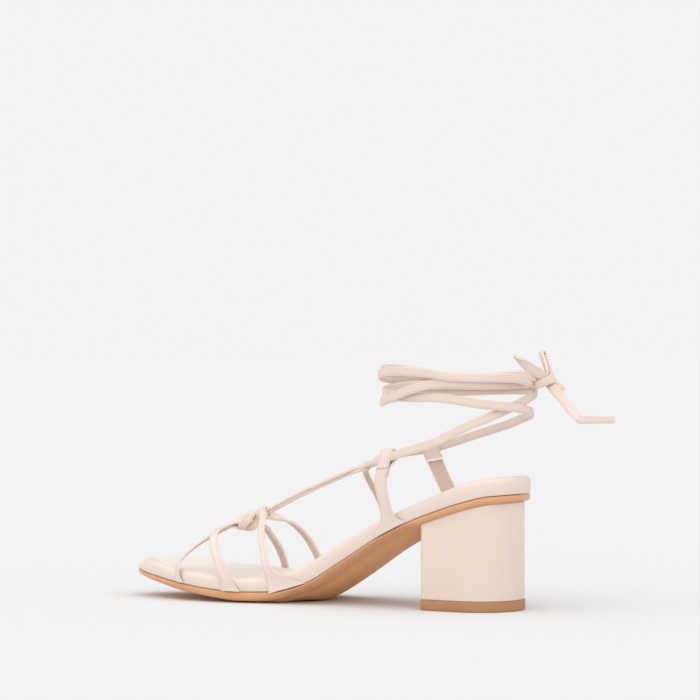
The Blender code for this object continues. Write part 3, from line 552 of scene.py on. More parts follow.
BLOCK_BASE = LIFT_HEIGHT + 0.08
heel_piece("wrapped_heel_block", [
    heel_ring(-0.6, level(BLOCK_BASE)), heel_ring(-0.25, level(BLOCK_BASE + 0.05)),
    heel_ring(-0.07, level(BLOCK_BASE + 0.22)), heel_ring(0.0, level(BLOCK_BASE + 0.6)),
    heel_ring(0.0, lambda st: 0.5 * (BLOCK_BASE + last_size("tread", st))),
    heel_ring(0.0, height_of("tread", -0.6)), heel_ring(-0.08, height_of("tread", -0.15)),
    heel_ring(-0.4, height_of("tread", 0.25))], [HEEL_LEATHER], "heel_block")
heel_piece("moulded_top_lift", [
    heel_ring(-0.5, level(0.0)), heel_ring(0.0, level(0.12)), heel_ring(0.2, level(0.4)),
    heel_ring(0.3, level(0.9)), heel_ring(0.3, level(LIFT_HEIGHT - 0.4)), heel_ring(0.22, level(LIFT_HEIGHT - 0.12)),
    heel_ring(-0.05, level(LIFT_HEIGHT))], [LIFT_RUBBER], "top_lift")

# %% [markdown]
# Straps and laces are strips swept along a route. A route is a few points, smoothed to a curve; at each point the
# strip also needs to know which way its flat face looks. On the foot that is straight out from the last, found from
# a smooth field that is 1 on the skin of the foot.

# %% Routes
CURVE_STEPS = 24


def last_field(spots):
    """How far spots lie out from the foot: 1 on the skin of the last."""
    station = HEEL_BACK_X - spots[:, 0]
    base, crown = last_size("rim_top", station), last_size("crown", station)
    half = np.where(spots[:, 1] < 0.0, last_size("medial", station), last_size("lateral", station))
    return (spots[:, 1] / np.maximum(half, 4.0)) ** 2 + (np.maximum(spots[:, 2] - base, 0.0) / (crown - base)) ** 2


def unit(vectors):
    """Vectors of length 1."""
    return vectors / np.maximum(np.linalg.norm(vectors, axis=-1, keepdims=True), 1e-9)


def last_normal(spots):
    """Outward directions from the last."""
    spots = np.asarray(spots, float)
    steps = 0.5 * np.eye(3)
    return unit(np.stack([last_field(spots + s) - last_field(spots - s) for s in steps], axis=1))


def distances(route):
    """How far each row of a route lies along it, in mm."""
    return np.concatenate([[0.0], np.cumsum(np.linalg.norm(np.diff(route[:, :3], axis=0), axis=1))])


def smooth_route(points, step):
    """Even rows on a smooth curve through rows of x, y, z and any further columns."""
    points = np.asarray(points, float)
    ends = np.vstack([2 * points[0] - points[1], points, 2 * points[-1] - points[-2]])
    t = np.linspace(0.0, 1.0, CURVE_STEPS, endpoint=False)[:, None]
    fine = [0.5 * (2 * p1 + (p2 - p0) * t + (2 * p0 - 5 * p1 + 4 * p2 - p3) * t ** 2
                   + (3 * p1 - p0 - 3 * p2 + p3) * t ** 3)
            for p0, p1, p2, p3 in zip(ends, ends[1:], ends[2:], ends[3:])]
    fine = np.vstack(fine + [points[-1:]])
    gone = distances(fine)
    want = np.linspace(0.0, gone[-1], max(3, round(gone[-1] / step)) + 1)
    return np.stack([np.interp(want, gone, column) for column in fine.T], axis=1)


def tangents(route):
    """Directions along a route."""
    return unit(np.gradient(route[:, :3], axis=0))


def sideways(route, outs):
    """Directions across a strip whose flat face looks along outs."""
    return unit(np.cross(tangents(route), outs))


def length_of(route):
    """Length of a route in mm."""
    return float(distances(route)[-1])


print("steps between two points of a route", CURVE_STEPS)

# %% [markdown]
# A strip's cross-section is a soft rounded rectangle: the leather is folded over a thin core, so edges are round and
# the face is slightly crowned. The lining covers the back between the two folds. Cut ends are filled flat, in the
# white of the core, and a strip can be left raw near its end, so that the core shows along the edges of its back too.

# %% Strips
SECTION_STEPS = 28
STRIP_SQUARENESS = 4.2
EDGE_FOLD = 0.6
LINING_BELOW, RAW_BELOW = -0.4, 0.3
RAW_END = 0.9
SEAM_HALF_WIDTH, SEAM_DARKNESS = 0.7, 0.6
FOOT_PRESS = 0.6
FOOT_THIN = 0.5


def strip_section(squareness):
    """Points round a unit cross-section, as (across, up), starting at the middle of the back."""
    turn = np.linspace(-0.5 * np.pi, 1.5 * np.pi, SECTION_STEPS + 1)
    power = 2.0 / squareness
    c, s = np.cos(turn), np.sin(turn)
    return np.sign(c) * np.abs(c) ** power, np.sign(s) * np.abs(s) ** power


def lay_strip(shape, route, across, thickness, squareness=STRIP_SQUARENESS, ends=True, seam_at=None, raw_from=None):
    """One strip along a route of x, y, z, width; slots: 0 cover, 1 lining or painted-shade back, 2 cut or raw."""
    a, b = strip_section(squareness)
    thick = np.broadcast_to(thickness, len(route))[:, None]
    face = unit(np.cross(across, tangents(route)))
    half = 0.5 * route[:, 3]
    places = (route[:, None, :3] + across[:, None, :] * (half[:, None] * a)[:, :, None]
              + face[:, None, :] * (0.5 * thick * b)[:, :, None])
    rims = half[:, None] * (1.0 - np.abs(a))
    gone = distances(route)
    seams = np.zeros_like(rims)
    if seam_at is not None:
        seams += np.clip(1.0 - np.abs(gone - seam_at) / SEAM_HALF_WIDTH, 0.0, SEAM_DARKNESS)[:, None] * (b > 0.0)
    slots = np.where((b < LINING_BELOW) & (rims > EDGE_FOLD), 1, 0)
    slots = np.minimum(slots[:, :-1], slots[:, 1:])
    if raw_from is not None:
        raw = (gone > raw_from)[:, None] & (rims < EDGE_FOLD) & (b < RAW_BELOW)
        raw |= (gone > gone[-1] - RAW_END)[:, None]
        slots = np.where(raw[:, :-1] & raw[:, 1:], 2, slots)
    lay_grid(shape, places, {"rim": rims, "seam": seams}, slots)
    if ends:
        bmesh.ops.remove_doubles(shape, verts=shape.verts, dist=WELD_MM * MM)
        for row in (places[0], places[-1]):
            spots = {tuple(np.round(p, 3)) for p in row}
            loop = [edge for edge in shape.edges if edge.is_boundary
                    and all(tuple(np.round(np.array(v.co) / MM, 3)) in spots for v in edge.verts)]
            bmesh.ops.edgeloop_fill(shape, edges=loop, mat_nr=2)


def base_line(row, across):
    """Direction of the sole's edge under a strap's foot, pointing the same way as a given one."""
    column, hand = ("medial", -1.0) if row.side < 0.0 else ("lateral", 1.0)
    ends = [np.array([HEEL_BACK_X - s, hand * float(last_size(column, s)), float(last_size("rim_base", s))])
            for s in (row.station + 1.0, row.station - 1.0)]
    line = unit(ends[1] - ends[0])
    return line if line @ across > 0.0 else -line


def foot_share(route, blend):
    """0 at the foot of a strip to 1 where it has left the sole."""
    return eased(distances(route) / blend)


def pressed(route, across, share):
    """Moves the foot of a strip in against the rim, where its end is skived thin."""
    face = unit(np.cross(across, tangents(route)))
    route = route.copy()
    route[:, :3] -= face * (FOOT_PRESS * (1.0 - share))[:, None]
    return route


print("section points", SECTION_STEPS)

# %% [markdown]
# Four straps hold the toes. They are two long strips: each comes up from the sole, hooks round the other in a flat
# knot on the vamp and goes back down on the same side. The tables give the straps by station, side, height and
# width, and the knot by places to the right, up and to the front of its middle, with the way the strip faces. A lean
# turns a strap's face towards the toe, or away from it where it is below zero.

# %% Vamp straps
VAMP = 4.6
STRAP_THICKNESS = 1.7
STRAP_STEP = 0.9
STRAP_FOOT = 14.0
MEDIAL_LEANS, LATERAL_LEANS = (1.6, 0.0), (-0.45, -1.5)
Point = namedtuple("Point", "station side height width")
MEDIAL_FRONT = [Point(*row) for row in (
    (188.7, -37.0, 9.7, 5.4), (189.8, -37.2, 12.8, 4.4), (190.3, -36.6, 16.0, 4.0), (190.4, -35.0, 19.8, 4.0),
    (189.0, -31.5, 23.5, 4.2), (187.0, -27.0, 27.0, 4.4), (183.5, -22.0, 31.0, VAMP), (180.0, -17.5, 34.0, VAMP),
    (175.5, -11.5, 37.7, VAMP))]
MEDIAL_BACK = [Point(*row) for row in (
    (155.5, -37.9, 6.3, 10.5), (157.0, -38.5, 10.4, 7.0), (159.2, -38.7, 14.6, 5.2), (162.5, -37.6, 20.0, VAMP),
    (167.5, -34.0, 26.5, VAMP), (172.0, -28.5, 31.8, VAMP), (175.0, -22.5, 35.6, VAMP), (175.0, -16.0, 38.2, VAMP),
    (172.0, -10.0, 40.3, VAMP))]
LATERAL_FRONT = [Point(*row) for row in (
    (166.0, 35.7, 7.3, 6.4), (166.6, 36.2, 11.0, 5.0), (167.2, 36.2, 15.5, 4.2), (168.7, 34.6, 22.0, VAMP),
    (169.5, 30.6, 27.6, VAMP), (169.9, 25.0, 32.8, VAMP), (169.6, 19.0, 37.0, VAMP), (169.0, 9.0, 39.6, VAMP))]
LATERAL_BACK = [Point(*row) for row in (
    (145.5, 38.6, 6.6, 7.4), (146.2, 39.0, 10.4, 5.6), (146.8, 39.1, 14.8, 4.8), (147.5, 38.8, 20.0, VAMP),
    (151.0, 36.3, 28.3, VAMP), (154.0, 31.5, 34.8, VAMP), (156.3, 26.0, 39.0, VAMP), (159.7, 19.0, 42.2, VAMP),
    (163.0, 12.0, 44.0, VAMP))]
TOEWARDS = np.array([-0.8, 0.1, 0.6])
KNOT_MIDDLE = np.array([-141.0, -3.0, 42.0])
KNOT_AXES = np.array([(0.861, 0.509, 0.0), (0.0, 0.0, 1.0), (0.509, -0.861, 0.0)])
Turn = namedtuple("Turn", "right up front face_up face_front")
MEDIAL_TURN = [Turn(*row) for row in (
    (-5.6, -3.0, 0.6, 0.8, 0.6), (-2.0, -3.4, -0.6, 0.4, 0.9), (1.8, -3.7, 0.8, -0.1, 1.0),
    (4.7, -2.2, 1.9, 0.1, 1.0), (5.4, 0.6, 1.8, 0.3, 1.0), (3.6, 2.4, 0.4, 0.6, 0.8), (0.6, 1.4, -0.4, 0.6, 0.8),
    (-3.6, -0.2, 1.2, 0.6, 0.8))]
LATERAL_TURN = [Turn(*row) for row in (
    (3.0, -3.6, -6.6, 0.2, -1.0), (0.8, -4.2, -3.6, -0.7, -0.7), (-1.8, -4.6, -0.2, -1.0, 0.2),
    (-2.6, -3.4, 2.8, -0.3, 1.0), (0.0, -0.2, 3.8, 0.1, 1.0), (2.4, 3.2, 3.2, 0.5, 0.9),
    (4.4, 4.4, 0.8, 0.95, 0.4), (7.0, 3.2, -3.6, 0.8, 0.5))]


def strap_rows(table, foot_lean, knot_lean):
    """Rows of x, y, z, width and facing direction from a strap's table; the leans turn its face towards the toe."""
    rows = np.array([(HEEL_BACK_X - p.station, p.side, p.height, p.width) for p in table])
    lean = foot_lean + (knot_lean - foot_lean) * np.linspace(0.0, 1.0, len(rows)) ** 3
    return np.hstack([rows, unit(last_normal(rows[:, :3]) + lean[:, None] * TOEWARDS)])


def knot_rows(table):
    """Rows of x, y, z, width and facing direction from a turn of the knot."""
    turns = np.array(table)
    spots = KNOT_MIDDLE + turns[:, :3] @ KNOT_AXES
    faces = np.column_stack([np.zeros(len(turns)), turns[:, 3:]]) @ KNOT_AXES
    return np.hstack([spots, np.full((len(turns), 1), VAMP), unit(faces)])


def lay_vamp_strip(shape, first, turn, last, leans):
    """One strip: up a strap, round its turn of the knot and down the other strap, with a lean for each strap."""
    rows = np.vstack([strap_rows(first, leans[0], leans[0]), knot_rows(turn), strap_rows(last, 0.0, leans[1])[::-1]])
    route = smooth_route(rows, STRAP_STEP)
    across = sideways(route, unit(route[:, 4:7]))
    starts, stops = foot_share(route, STRAP_FOOT), foot_share(route[::-1], STRAP_FOOT)[::-1]
    across = unit(base_line(first[0], across[0]) * (1.0 - starts)[:, None] + across * starts[:, None])
    across = unit(base_line(last[0], across[-1]) * (1.0 - stops)[:, None] + across * stops[:, None])
    share = starts * stops
    route = pressed(route, across, share)
    lay_strip(shape, route, across, STRAP_THICKNESS * (FOOT_THIN + (1.0 - FOOT_THIN) * share))
    return length_of(route)


vamp = bmesh.new()
cut = [lay_vamp_strip(vamp, MEDIAL_FRONT, MEDIAL_TURN, MEDIAL_BACK, MEDIAL_LEANS),
       lay_vamp_strip(vamp, LATERAL_FRONT, LATERAL_TURN, LATERAL_BACK, LATERAL_LEANS)]
finish_piece("knotted_vamp_straps", vamp, [STRAP_LEATHER, LINING, CUT_EDGE_AND_HIGHLIGHT], "vamp_straps")
print("vamp strips", [round(c) for c in cut], "mm")

# %% [markdown]
# One long lace is doubled behind the knot. Both halves run up the instep one on the other, part to the two sides of
# the ankle, cross behind it and wind round it. The rings are given by stops on the way round an oval: the turn in
# degrees, the height and how far out from the oval the lace lies there.

# %% Ankle lace
LACE_WIDTH = 4.8
LACE_THICKNESS = 1.8
LACE_SQUARENESS = 3.2
LACE_STEP, RING_STEP = 1.6, 11.0
PAIR_SIDE = -3.5
PAIR_LIFT, PAIRED_POINTS = 0.72, 4
LACE_TURN_X, LACE_TURN_Z = -133.4, 45.0
RINGS_FROM, RINGS_FADE = 78.0, 12.0
FACE_SPREAD = 4
MEDIAL_RUN = [(-128.0, -3.9, 46.7), (-106.5, -4.0, 56.9), (-77.5, -4.6, 68.7), (-66.0, -4.6, 72.5),
              (-52.0, -17.5, 76.6), (-39.7, -26.3, 78.6), (-26.0, -32.6, 81.8)]
LATERAL_RUN = [(-128.0, -3.1, 46.7), (-106.5, -3.2, 56.9), (-77.5, -3.4, 68.7), (-66.0, -3.2, 72.5),
               (-55.0, 13.5, 78.4), (-43.0, 26.3, 81.5)]
RING_X = -11.8
RING_HALF_LENGTH = 39.1
RING_HALF_WIDTH = 35.5
MEDIAL_RINGS = [
    (95.0, 86.4, 0.5), (124.0, 96.0, 0.0), (158.0, 104.0, -1.4), (168.0, 106.0, -1.2), (176.0, 107.9, -0.6),
    (205.0, 111.8, 1.0), (248.0, 112.9, 3.0), (296.0, 111.9, 3.0), (320.0, 111.5, 3.0), (351.0, 109.1, 2.6),
    (388.0, 106.9, 2.4), (417.0, 109.6, 2.8), (449.0, 115.6, 2.8), (465.0, 117.2, 2.2), (500.0, 117.2, 0.6),
    (528.0, 116.6, -1.6), (560.0, 119.6, -2.2), (600.0, 121.0, -0.6), (632.0, 119.8, 0.4), (672.0, 120.6, 0.4),
    (694.0, 123.0, 1.0), (720.0, 124.1, 1.8), (748.0, 124.0, 1.8), (790.0, 122.6, 0.4), (830.0, 120.4, 0.2),
    (870.0, 120.6, 0.6), (894.0, 120.9, 2.0), (905.0, 120.2, 3.2)]
LATERAL_RINGS = [
    (304.0, 84.4, 1.0), (276.0, 90.7, 1.5), (249.0, 96.2, 1.2), (231.0, 99.3, 0.4), (205.0, 101.4, -0.8),
    (190.0, 102.4, -0.9), (178.0, 103.2, 0.2), (167.0, 104.2, 1.4), (150.0, 105.4, 1.6), (131.0, 106.6, 1.2),
    (102.0, 109.6, 0.2), (66.0, 109.8, 0.0), (48.0, 111.2, 0.6), (20.0, 112.7, 1.3), (-9.0, 114.6, 0.6),
    (-32.0, 115.3, 0.4), (-88.0, 115.2, 0.4), (-116.0, 116.0, 0.4), (-160.0, 117.2, 0.6), (-187.0, 118.3, 2.2),
    (-206.0, 119.7, 3.5), (-250.0, 120.4, 3.5), (-267.0, 122.2, 3.5), (-290.0, 123.2, 3.5), (-311.0, 122.6, 3.5),
    (-332.0, 121.0, 3.5), (-369.0, 118.4, 3.5), (-393.0, 118.1, 3.3), (-446.0, 118.7, 3.3), (-480.0, 119.5, 3.3),
    (-529.0, 120.3, 3.4)]


def ring_spots(stops):
    """Points on the way round the ankle."""
    turn, height, spread = smooth_route(stops, RING_STEP).T
    angle = np.radians(turn)
    return np.stack([RING_X - (RING_HALF_LENGTH + spread) * np.cos(angle),
                     -(RING_HALF_WIDTH + spread) * np.sin(angle), height], axis=1)


def lace_half(run, stops, lift):
    """Route of one half of the lace, with its width; lift stacks the halves while they run together."""
    start = np.array([LACE_TURN_X, PAIR_SIDE, LACE_TURN_Z + lift])
    run = np.array(run)
    run[:PAIRED_POINTS, 2] += lift
    spots = np.vstack([start, run, ring_spots(stops)])
    return smooth_route(np.column_stack([spots, np.full(len(spots), LACE_WIDTH)]), LACE_STEP)


def lace_faces(route):
    """Flat side of the lace: out from the last over the instep, out from the ankle in the rings."""
    round_ankle = unit(np.column_stack([route[:, 0] - RING_X, route[:, 1], np.zeros(len(route))]))
    share = np.clip((route[:, 2] - RINGS_FROM) / RINGS_FADE, 0.0, 1.0)[:, None]
    outs = unit(last_normal(route[:, :3]) * (1.0 - share) + round_ankle * share)
    even = np.ones(2 * FACE_SPREAD + 1) / (2 * FACE_SPREAD + 1)
    return unit(np.stack([np.convolve(np.pad(c, FACE_SPREAD, mode="edge"), even, "valid") for c in outs.T], axis=1))


lace = bmesh.new()
LACE_LENGTHS = []
for run, stops, lift in ((MEDIAL_RUN, MEDIAL_RINGS, PAIR_LIFT), (LATERAL_RUN, LATERAL_RINGS, -PAIR_LIFT)):
    route = lace_half(run, stops, lift)
    lay_strip(lace, route, sideways(route, lace_faces(route)), LACE_THICKNESS, LACE_SQUARENESS)
    LACE_LENGTHS.append(round(length_of(route)))
# The lace's back takes the darker copy of its leather: painted shade.
finish_piece("wound_ankle_lace", lace, [LACE_LEATHER, LACE_BACK_PAINTED_SHADE, CUT_EDGE_AND_HIGHLIGHT], "ankle_lace")
print("lace halves", LACE_LENGTHS, "mm")

# %% [markdown]
# Keepers are looped straps: each comes up from the sole, folds over the lace and comes back a little way inside
# itself as a short flap with a raw end. The fold is worked out round the stretch of lace that it carries, from the
# point before it to the point after it, so the lace always runs through it.

# %% Keepers
HEELWARDS = np.array([0.861, 0.509, 0.0])
KEEPER_FOOT = 16.0
LEG_STEP, KEEPER_STEP = 1.0, 0.8
FLAP_GAP = 0.35
FLAP_TURN = 2.4
Fold = namedtuple("Fold", "before after half_width half_height slack thickness flap raw turn")
MEDIAL_FRONT_KEEPER = [Point(*row) for row in (
    (124.9, -30.4, 8.6, 21.0), (130.2, -31.6, 12.6, 12.0), (134.2, -32.5, 16.6, 6.6), (136.8, -32.4, 21.4, 4.8),
    (139.4, -30.0, 27.0, 4.4), (143.5, -25.4, 33.0, 4.4), (147.4, -19.6, 39.0, 4.5), (150.4, -13.2, 44.6, 4.6))]
LATERAL_FRONT_KEEPER = [Point(*row) for row in (
    (99.0, 33.3, 22.4, 12.0), (100.0, 34.0, 26.6, 8.0), (100.6, 34.2, 31.5, 5.8), (100.8, 32.6, 41.0, 4.4),
    (101.0, 26.8, 52.5, 4.0), (101.4, 18.6, 61.5, 3.8), (99.4, 9.5, 67.6, 3.8))]
MEDIAL_REAR_KEEPER = [Point(*row) for row in (
    (66.0, -25.7, 40.7, 22.0), (66.2, -26.3, 44.6, 13.0), (66.2, -26.9, 48.8, 8.2), (66.8, -27.6, 53.6, 7.4),
    (67.8, -28.6, 59.4, 7.5), (68.6, -29.0, 66.0, 7.9), (67.7, -29.0, 72.0, 7.9))]
LATERAL_REAR_KEEPER = [Point(*row) for row in (
    (55.4, 28.5, 45.6, 13.5), (57.0, 29.2, 49.8, 10.8), (59.0, 29.6, 54.6, 9.4), (61.2, 29.8, 60.0, 9.2),
    (64.8, 29.5, 67.0, 9.2), (67.8, 29.0, 73.5, 9.2))]


def keeper_route(table, fold, axis, middle, out):
    """Leg of a keeper, its fold over the lace and the flap that comes back under the leg."""
    leg = np.array([(HEEL_BACK_X - p.station, p.side, p.height, p.width) for p in table])
    width = table[-1].width
    out = unit(out - axis * (out @ axis))
    away = np.cross(axis, out)
    if away @ (middle - leg[-1, :3]) < 0.0:
        away = -away
    reach = fold.half_width + fold.slack + 0.5 * fold.thickness
    rise = fold.half_height + fold.slack + 0.5 * fold.thickness
    flat = max(reach - rise, 0.0)
    turn = np.radians((60.0, 30.0, 0.0, -30.0, -60.0))
    bend = [(-0.8 * flat, rise), (flat, rise)]
    bend += [(flat + (reach - flat) * math.cos(a), rise * math.sin(a)) for a in turn]
    bend += [(flat, -rise), (-0.8 * flat, -rise)]
    bend = np.array([(*(middle + away * a + out * b), width) for a, b in bend])
    head = smooth_route(np.vstack([leg, bend[:1]]), LEG_STEP)
    flap = []
    for distance in (min(0.45 * fold.flap, FLAP_TURN), fold.flap):
        index = len(head) - 1 - round(distance + reach)
        inward = unit(np.cross(tangents(head)[index], axis))
        if inward @ out > 0.0:
            inward = -inward
        flap.append((*(head[index, :3] + inward * (fold.thickness + FLAP_GAP)), width))
    return smooth_route(np.vstack([leg, bend, np.array(flap)]), KEEPER_STEP)


def keeper(name, table, fold, node_name, seam_at=None):
    """One keeper strap round the lace between two of the lace's points."""
    before, after = np.array(fold.before), np.array(fold.after)
    middle, along = (before + after) / 2.0, unit(after - before)
    axis = unit(along * (1.0 - fold.turn) + HEELWARDS * fold.turn)
    route = keeper_route(table, fold, axis, middle, last_normal(middle[None, :])[0])
    base = base_line(table[0], np.cross(tangents(route)[0], last_normal(route[:1, :3])[0]))
    top = axis if axis @ base > 0.0 else -axis
    share = foot_share(route, KEEPER_FOOT)
    across = unit(base * (1.0 - share)[:, None] + top * share[:, None])
    route = pressed(route, across, share)
    shape = bmesh.new()
    lay_strip(shape, route, across, fold.thickness * (FOOT_THIN + (1.0 - FOOT_THIN) * share),
              seam_at=seam_at, raw_from=length_of(route) - fold.raw)
    finish_piece(name, shape, [STRAP_LEATHER, LINING, CUT_EDGE_AND_HIGHLIGHT], node_name)


keeper("looped_keeper_medial_front", MEDIAL_FRONT_KEEPER,
       Fold((-132.6, PAIR_SIDE, 45.0), (-127.2, PAIR_SIDE, 47.1), 2.4, 1.8, 0.1, 1.3, 2.0, 2.0, 0.0),
       "keeper_medial_front")
keeper("looped_keeper_lateral_front", LATERAL_FRONT_KEEPER,
       Fold((-69.4, -3.9, 71.2), (-63.4, -3.9, 73.4), 2.0, 1.5, 0.0, 0.9, 4.0, 4.0, 0.0),
       "keeper_lateral_front")
keeper("looped_keeper_medial_rear", MEDIAL_REAR_KEEPER,
       Fold((-45.0, -22.9, 77.8), (-34.4, -29.0, 79.8), 2.4, 0.9, 0.6, 1.5, 7.5, 9.0, 0.35),
       "keeper_medial_rear", seam_at=32.5)
# This keeper is raw along its last 45 mm, so its edges are white: cut edge and painted highlight.
keeper("looped_keeper_lateral_rear", LATERAL_REAR_KEEPER,
       Fold((-48.6, 22.0, 79.9), (-38.2, 29.5, 83.2), 2.4, 0.9, 0.3, 1.5, 3.5, 45.0, 0.3),
       "keeper_lateral_rear")

# %% [markdown]
# The bow is the loose end of the same lace: two loops, a long tail and a short end, held by a band. The loops and
# ends are free. The flat strip is swept along the path of the CAD cord, and its width and the way its face looks are
# given at each point, because a tied lace twists.

# %% Bow
BOW_MIDDLE = np.array([33.6, 9.0, 119.4])
BOW_WIDTH = 4.7
BOW_THICKNESS = 1.6
BOW_STEP = 0.8
BowPoint = namedtuple("BowPoint", "right up front width face_right face_up face_front")
BOW_LEFT = [BowPoint(*row) for row in (
    (0.8, -1.6, -1.0, 4.4, 0.0, 0.0, -1.0), (-2.4, 2.2, 0.0, 4.6, 0.0, 0.1, -1.0),
    (-7.4, 5.0, 4.6, 4.8, 0.0, 0.1, -1.0), (-11.6, 8.1, 7.2, 4.2, 0.2, 0.4, -0.9),
    (-14.6, 10.6, 8.6, 3.0, 0.4, 0.8, -0.5), (-16.3, 11.4, 9.6, 2.0, -0.8, 0.6, 0.0),
    (-14.9, 10.0, 10.5, 3.0, -0.4, -0.7, 0.5), (-11.9, 7.8, 10.5, 4.6, -0.1, -0.2, 1.0),
    (-7.6, 4.7, 7.5, 5.2, 0.0, 0.1, 1.0), (-2.6, 1.8, 2.6, 4.8, 0.0, 0.2, 1.0), (0.2, -1.4, 1.0, 4.4, 0.0, 0.1, 1.0),
    (2.6, -3.9, 1.4, 4.5, 0.0, 0.0, 1.0), (5.4, -7.7, 8.0, 4.6, 0.0, 0.0, 1.0), (8.4, -11.6, 15.5, 4.7, 0.0, 0.0, 1.0),
    (11.6, -16.0, 23.5, 4.7, 0.0, 0.0, 1.0), (13.8, -19.1, 28.6, 4.6, 0.0, 0.0, 1.0),
    (14.8, -20.1, 30.0, 4.6, 0.0, 0.0, 1.0), (16.2, -20.4, 30.6, 4.6, 0.0, 0.0, 1.0),
    (23.0, -20.4, 32.4, 4.2, 0.0, 0.0, 1.0), (32.3, -20.3, 34.6, 3.7, 0.0, 0.0, 1.0))]
BOW_RIGHT = [BowPoint(*row) for row in (
    (0.6, -1.2, -0.6, 4.4, -1.0, 0.2, 0.0), (0.6, 3.6, -1.6, 4.6, -1.0, 0.2, 0.0),
    (-0.6, 8.8, -5.0, 4.4, -1.0, 0.2, 0.0), (-1.6, 12.3, -8.6, 4.0, -1.0, 0.3, 0.0),
    (-0.8, 13.5, -10.4, 3.8, -0.2, 1.0, 0.0), (0.3, 12.4, -11.4, 4.0, 1.0, 0.3, 0.0),
    (1.6, 8.8, -9.2, 4.4, 1.0, 0.2, 0.0), (3.1, 3.2, -5.4, 4.6, 1.0, 0.3, 0.2), (3.9, -0.6, -2.6, 4.6, 0.7, 0.4, 0.7),
    (5.9, -3.4, -1.2, 4.6, 0.4, 0.4, 1.0), (9.2, -6.8, -1.6, 4.4, 0.2, 0.3, 1.0))]


def bow_rows(table):
    """Rows of x, y, z, width and facing direction from a table measured from the middle of the bow."""
    rows = np.array(table)
    return np.column_stack([BOW_MIDDLE + rows[:, :3] @ KNOT_AXES, rows[:, 3], unit(rows[:, 4:] @ KNOT_AXES)])


def bow_strip(name, table, node_name):
    """A free strip of the bow, swept along its own centreline."""
    route = smooth_route(bow_rows(table), BOW_STEP)
    shape = bmesh.new()
    lay_strip(shape, route, sideways(route, unit(route[:, 4:7])), BOW_THICKNESS)
    piece = finish_piece(name, shape, [LACE_LEATHER, LACE_LEATHER, CUT_EDGE_AND_HIGHLIGHT], node_name)
    print(name, round(length_of(route)), "mm long")


bow_strip("bow_loop_and_long_tail", BOW_LEFT, "bow_left")
bow_strip("bow_loop_and_short_end", BOW_RIGHT, "bow_right")

# %% [markdown]
# The band of the bow is a short stretch of the lace pulled tight round the loops: a flattened ring of the same strip.

# %% Bow band
BAND_TILT = math.radians(22.6)
BAND_HALF_LENGTH = 5.4
BAND_HALF_DEPTH = 3.2
BAND_THICKNESS = 1.3
BAND_ROUNDNESS = 0.75
BAND_LEFT, BAND_DOWN = 0.85, 1.85
BAND_NARROW, BAND_FLARE = 0.92, 0.3


def bow_band():
    """A flattened ring of strip round the loops."""
    right, up, front = KNOT_AXES
    long_way = right * math.cos(BAND_TILT) + up * math.sin(BAND_TILT)
    wide = up * math.cos(BAND_TILT) - right * math.sin(BAND_TILT)
    middle = BOW_MIDDLE - BAND_LEFT * right - BAND_DOWN * up
    angle = np.linspace(0.0, 2.0 * np.pi, 73)
    c, s = np.cos(angle), np.sin(angle)
    c, s = np.sign(c) * np.abs(c) ** BAND_ROUNDNESS, np.sign(s) * np.abs(s) ** BAND_ROUNDNESS
    spots = middle + BAND_HALF_LENGTH * c[:, None] * long_way + BAND_HALF_DEPTH * s[:, None] * front
    route = np.column_stack([spots, BOW_WIDTH * (BAND_NARROW + BAND_FLARE * np.clip(c, 0.0, 1.0) ** 3)])
    shape = bmesh.new()
    lay_strip(shape, route, np.repeat(wide[None, :], len(route), axis=0), BAND_THICKNESS, ends=False)
    finish_piece("bow_band", shape, [LACE_LEATHER, LACE_LEATHER, CUT_EDGE_AND_HIGHLIGHT], "bow_knot")


bow_band()

# %% [markdown]
# The studio is a pale floor with soft light from all round, stronger from above and in front. The sky dome gives that
# as a smooth glow, so nothing throws a hard shadow. Near the horizon the dome is one even white, and the floor's own
# colour is matched to it, so that no horizon shows.

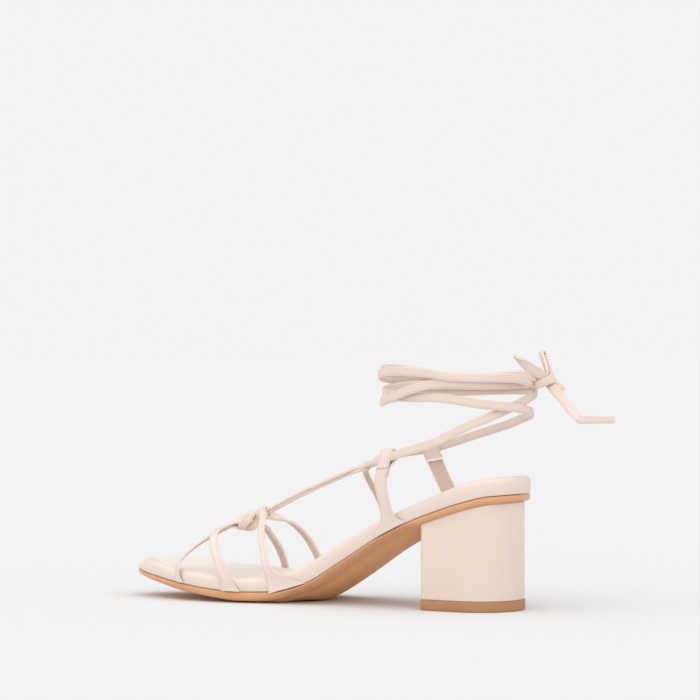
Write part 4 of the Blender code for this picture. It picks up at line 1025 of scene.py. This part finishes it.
# %% Studio
STUDIO_WHITE = 0.896
SKY_LOW, SKY_HIGH = 0.40, 1.66
HORIZON_TOP, GLOW_FROM = 0.13, 0.3
PAPER_MM = 1.2
PAPER_WHITE = (0.721, 0.721, 0.723, 1.0)  # linear, set by trial until the floor met the dome's white
KEY = Vector((0.15, -0.52, 0.84)).normalized()

floor_shape = bmesh.new()
bmesh.ops.create_grid(floor_shape, x_segments=4, y_segments=4, size=40.0)
floor_mesh = bpy.data.meshes.new("studio_floor")
floor_shape.to_mesh(floor_mesh)
floor_shape.free()
floor = bpy.data.objects.new("studio_floor", floor_mesh)
bpy.context.scene.collection.objects.link(floor)
paper, tree, place = new_material("matte_white_paper")
fibre = node(tree, "ShaderNodeTexNoise", {"Vector": place, "Scale": 1.0 / (PAPER_MM * MM), "Detail": 2.0})
fine = node(tree, "ShaderNodeBump", {"Height": fibre.outputs["Fac"], "Strength": 0.02, "Distance": 0.02 * MM})
close_material(tree, node(tree, "ShaderNodeBsdfPrincipled", {
    "Base Color": PAPER_WHITE, "Roughness": 1.0, "Normal": fine.outputs["Normal"],
    "Specular IOR Level": 0.0}))
floor_mesh.materials.append(paper)

world = bpy.data.worlds.new("studio_dome")
bpy.context.scene.world = world
world.use_nodes = True
dome = world.node_tree
dome.nodes.clear()
look = node(dome, "ShaderNodeTexCoord").outputs["Generated"]
towards = node(dome, "ShaderNodeVectorMath", {0: look, 1: tuple(KEY)}, operation="DOT_PRODUCT")
glow = node(dome, "ShaderNodeMapRange", {"Value": towards.outputs["Value"], "From Min": -0.2, "From Max": 1.0,
                                         "To Min": SKY_LOW, "To Max": SKY_HIGH}, interpolation_type="SMOOTHSTEP")
above = node(dome, "ShaderNodeSeparateXYZ", {"Vector": look})
climb = node(dome, "ShaderNodeMapRange", {"Value": above.outputs["Z"], "From Min": HORIZON_TOP, "From Max": GLOW_FROM},
             interpolation_type="SMOOTHSTEP")
strength = node(dome, "ShaderNodeMix", {0: climb.outputs["Result"], 2: STUDIO_WHITE, 3: glow.outputs["Result"]})
sky = node(dome, "ShaderNodeBackground", {"Color": (1.0, 1.0, 1.0, 1.0), "Strength": strength.outputs[0]})
dome.links.new(sky.outputs["Background"], node(dome, "ShaderNodeOutputWorld").inputs["Surface"])
print("studio white", STUDIO_WHITE)
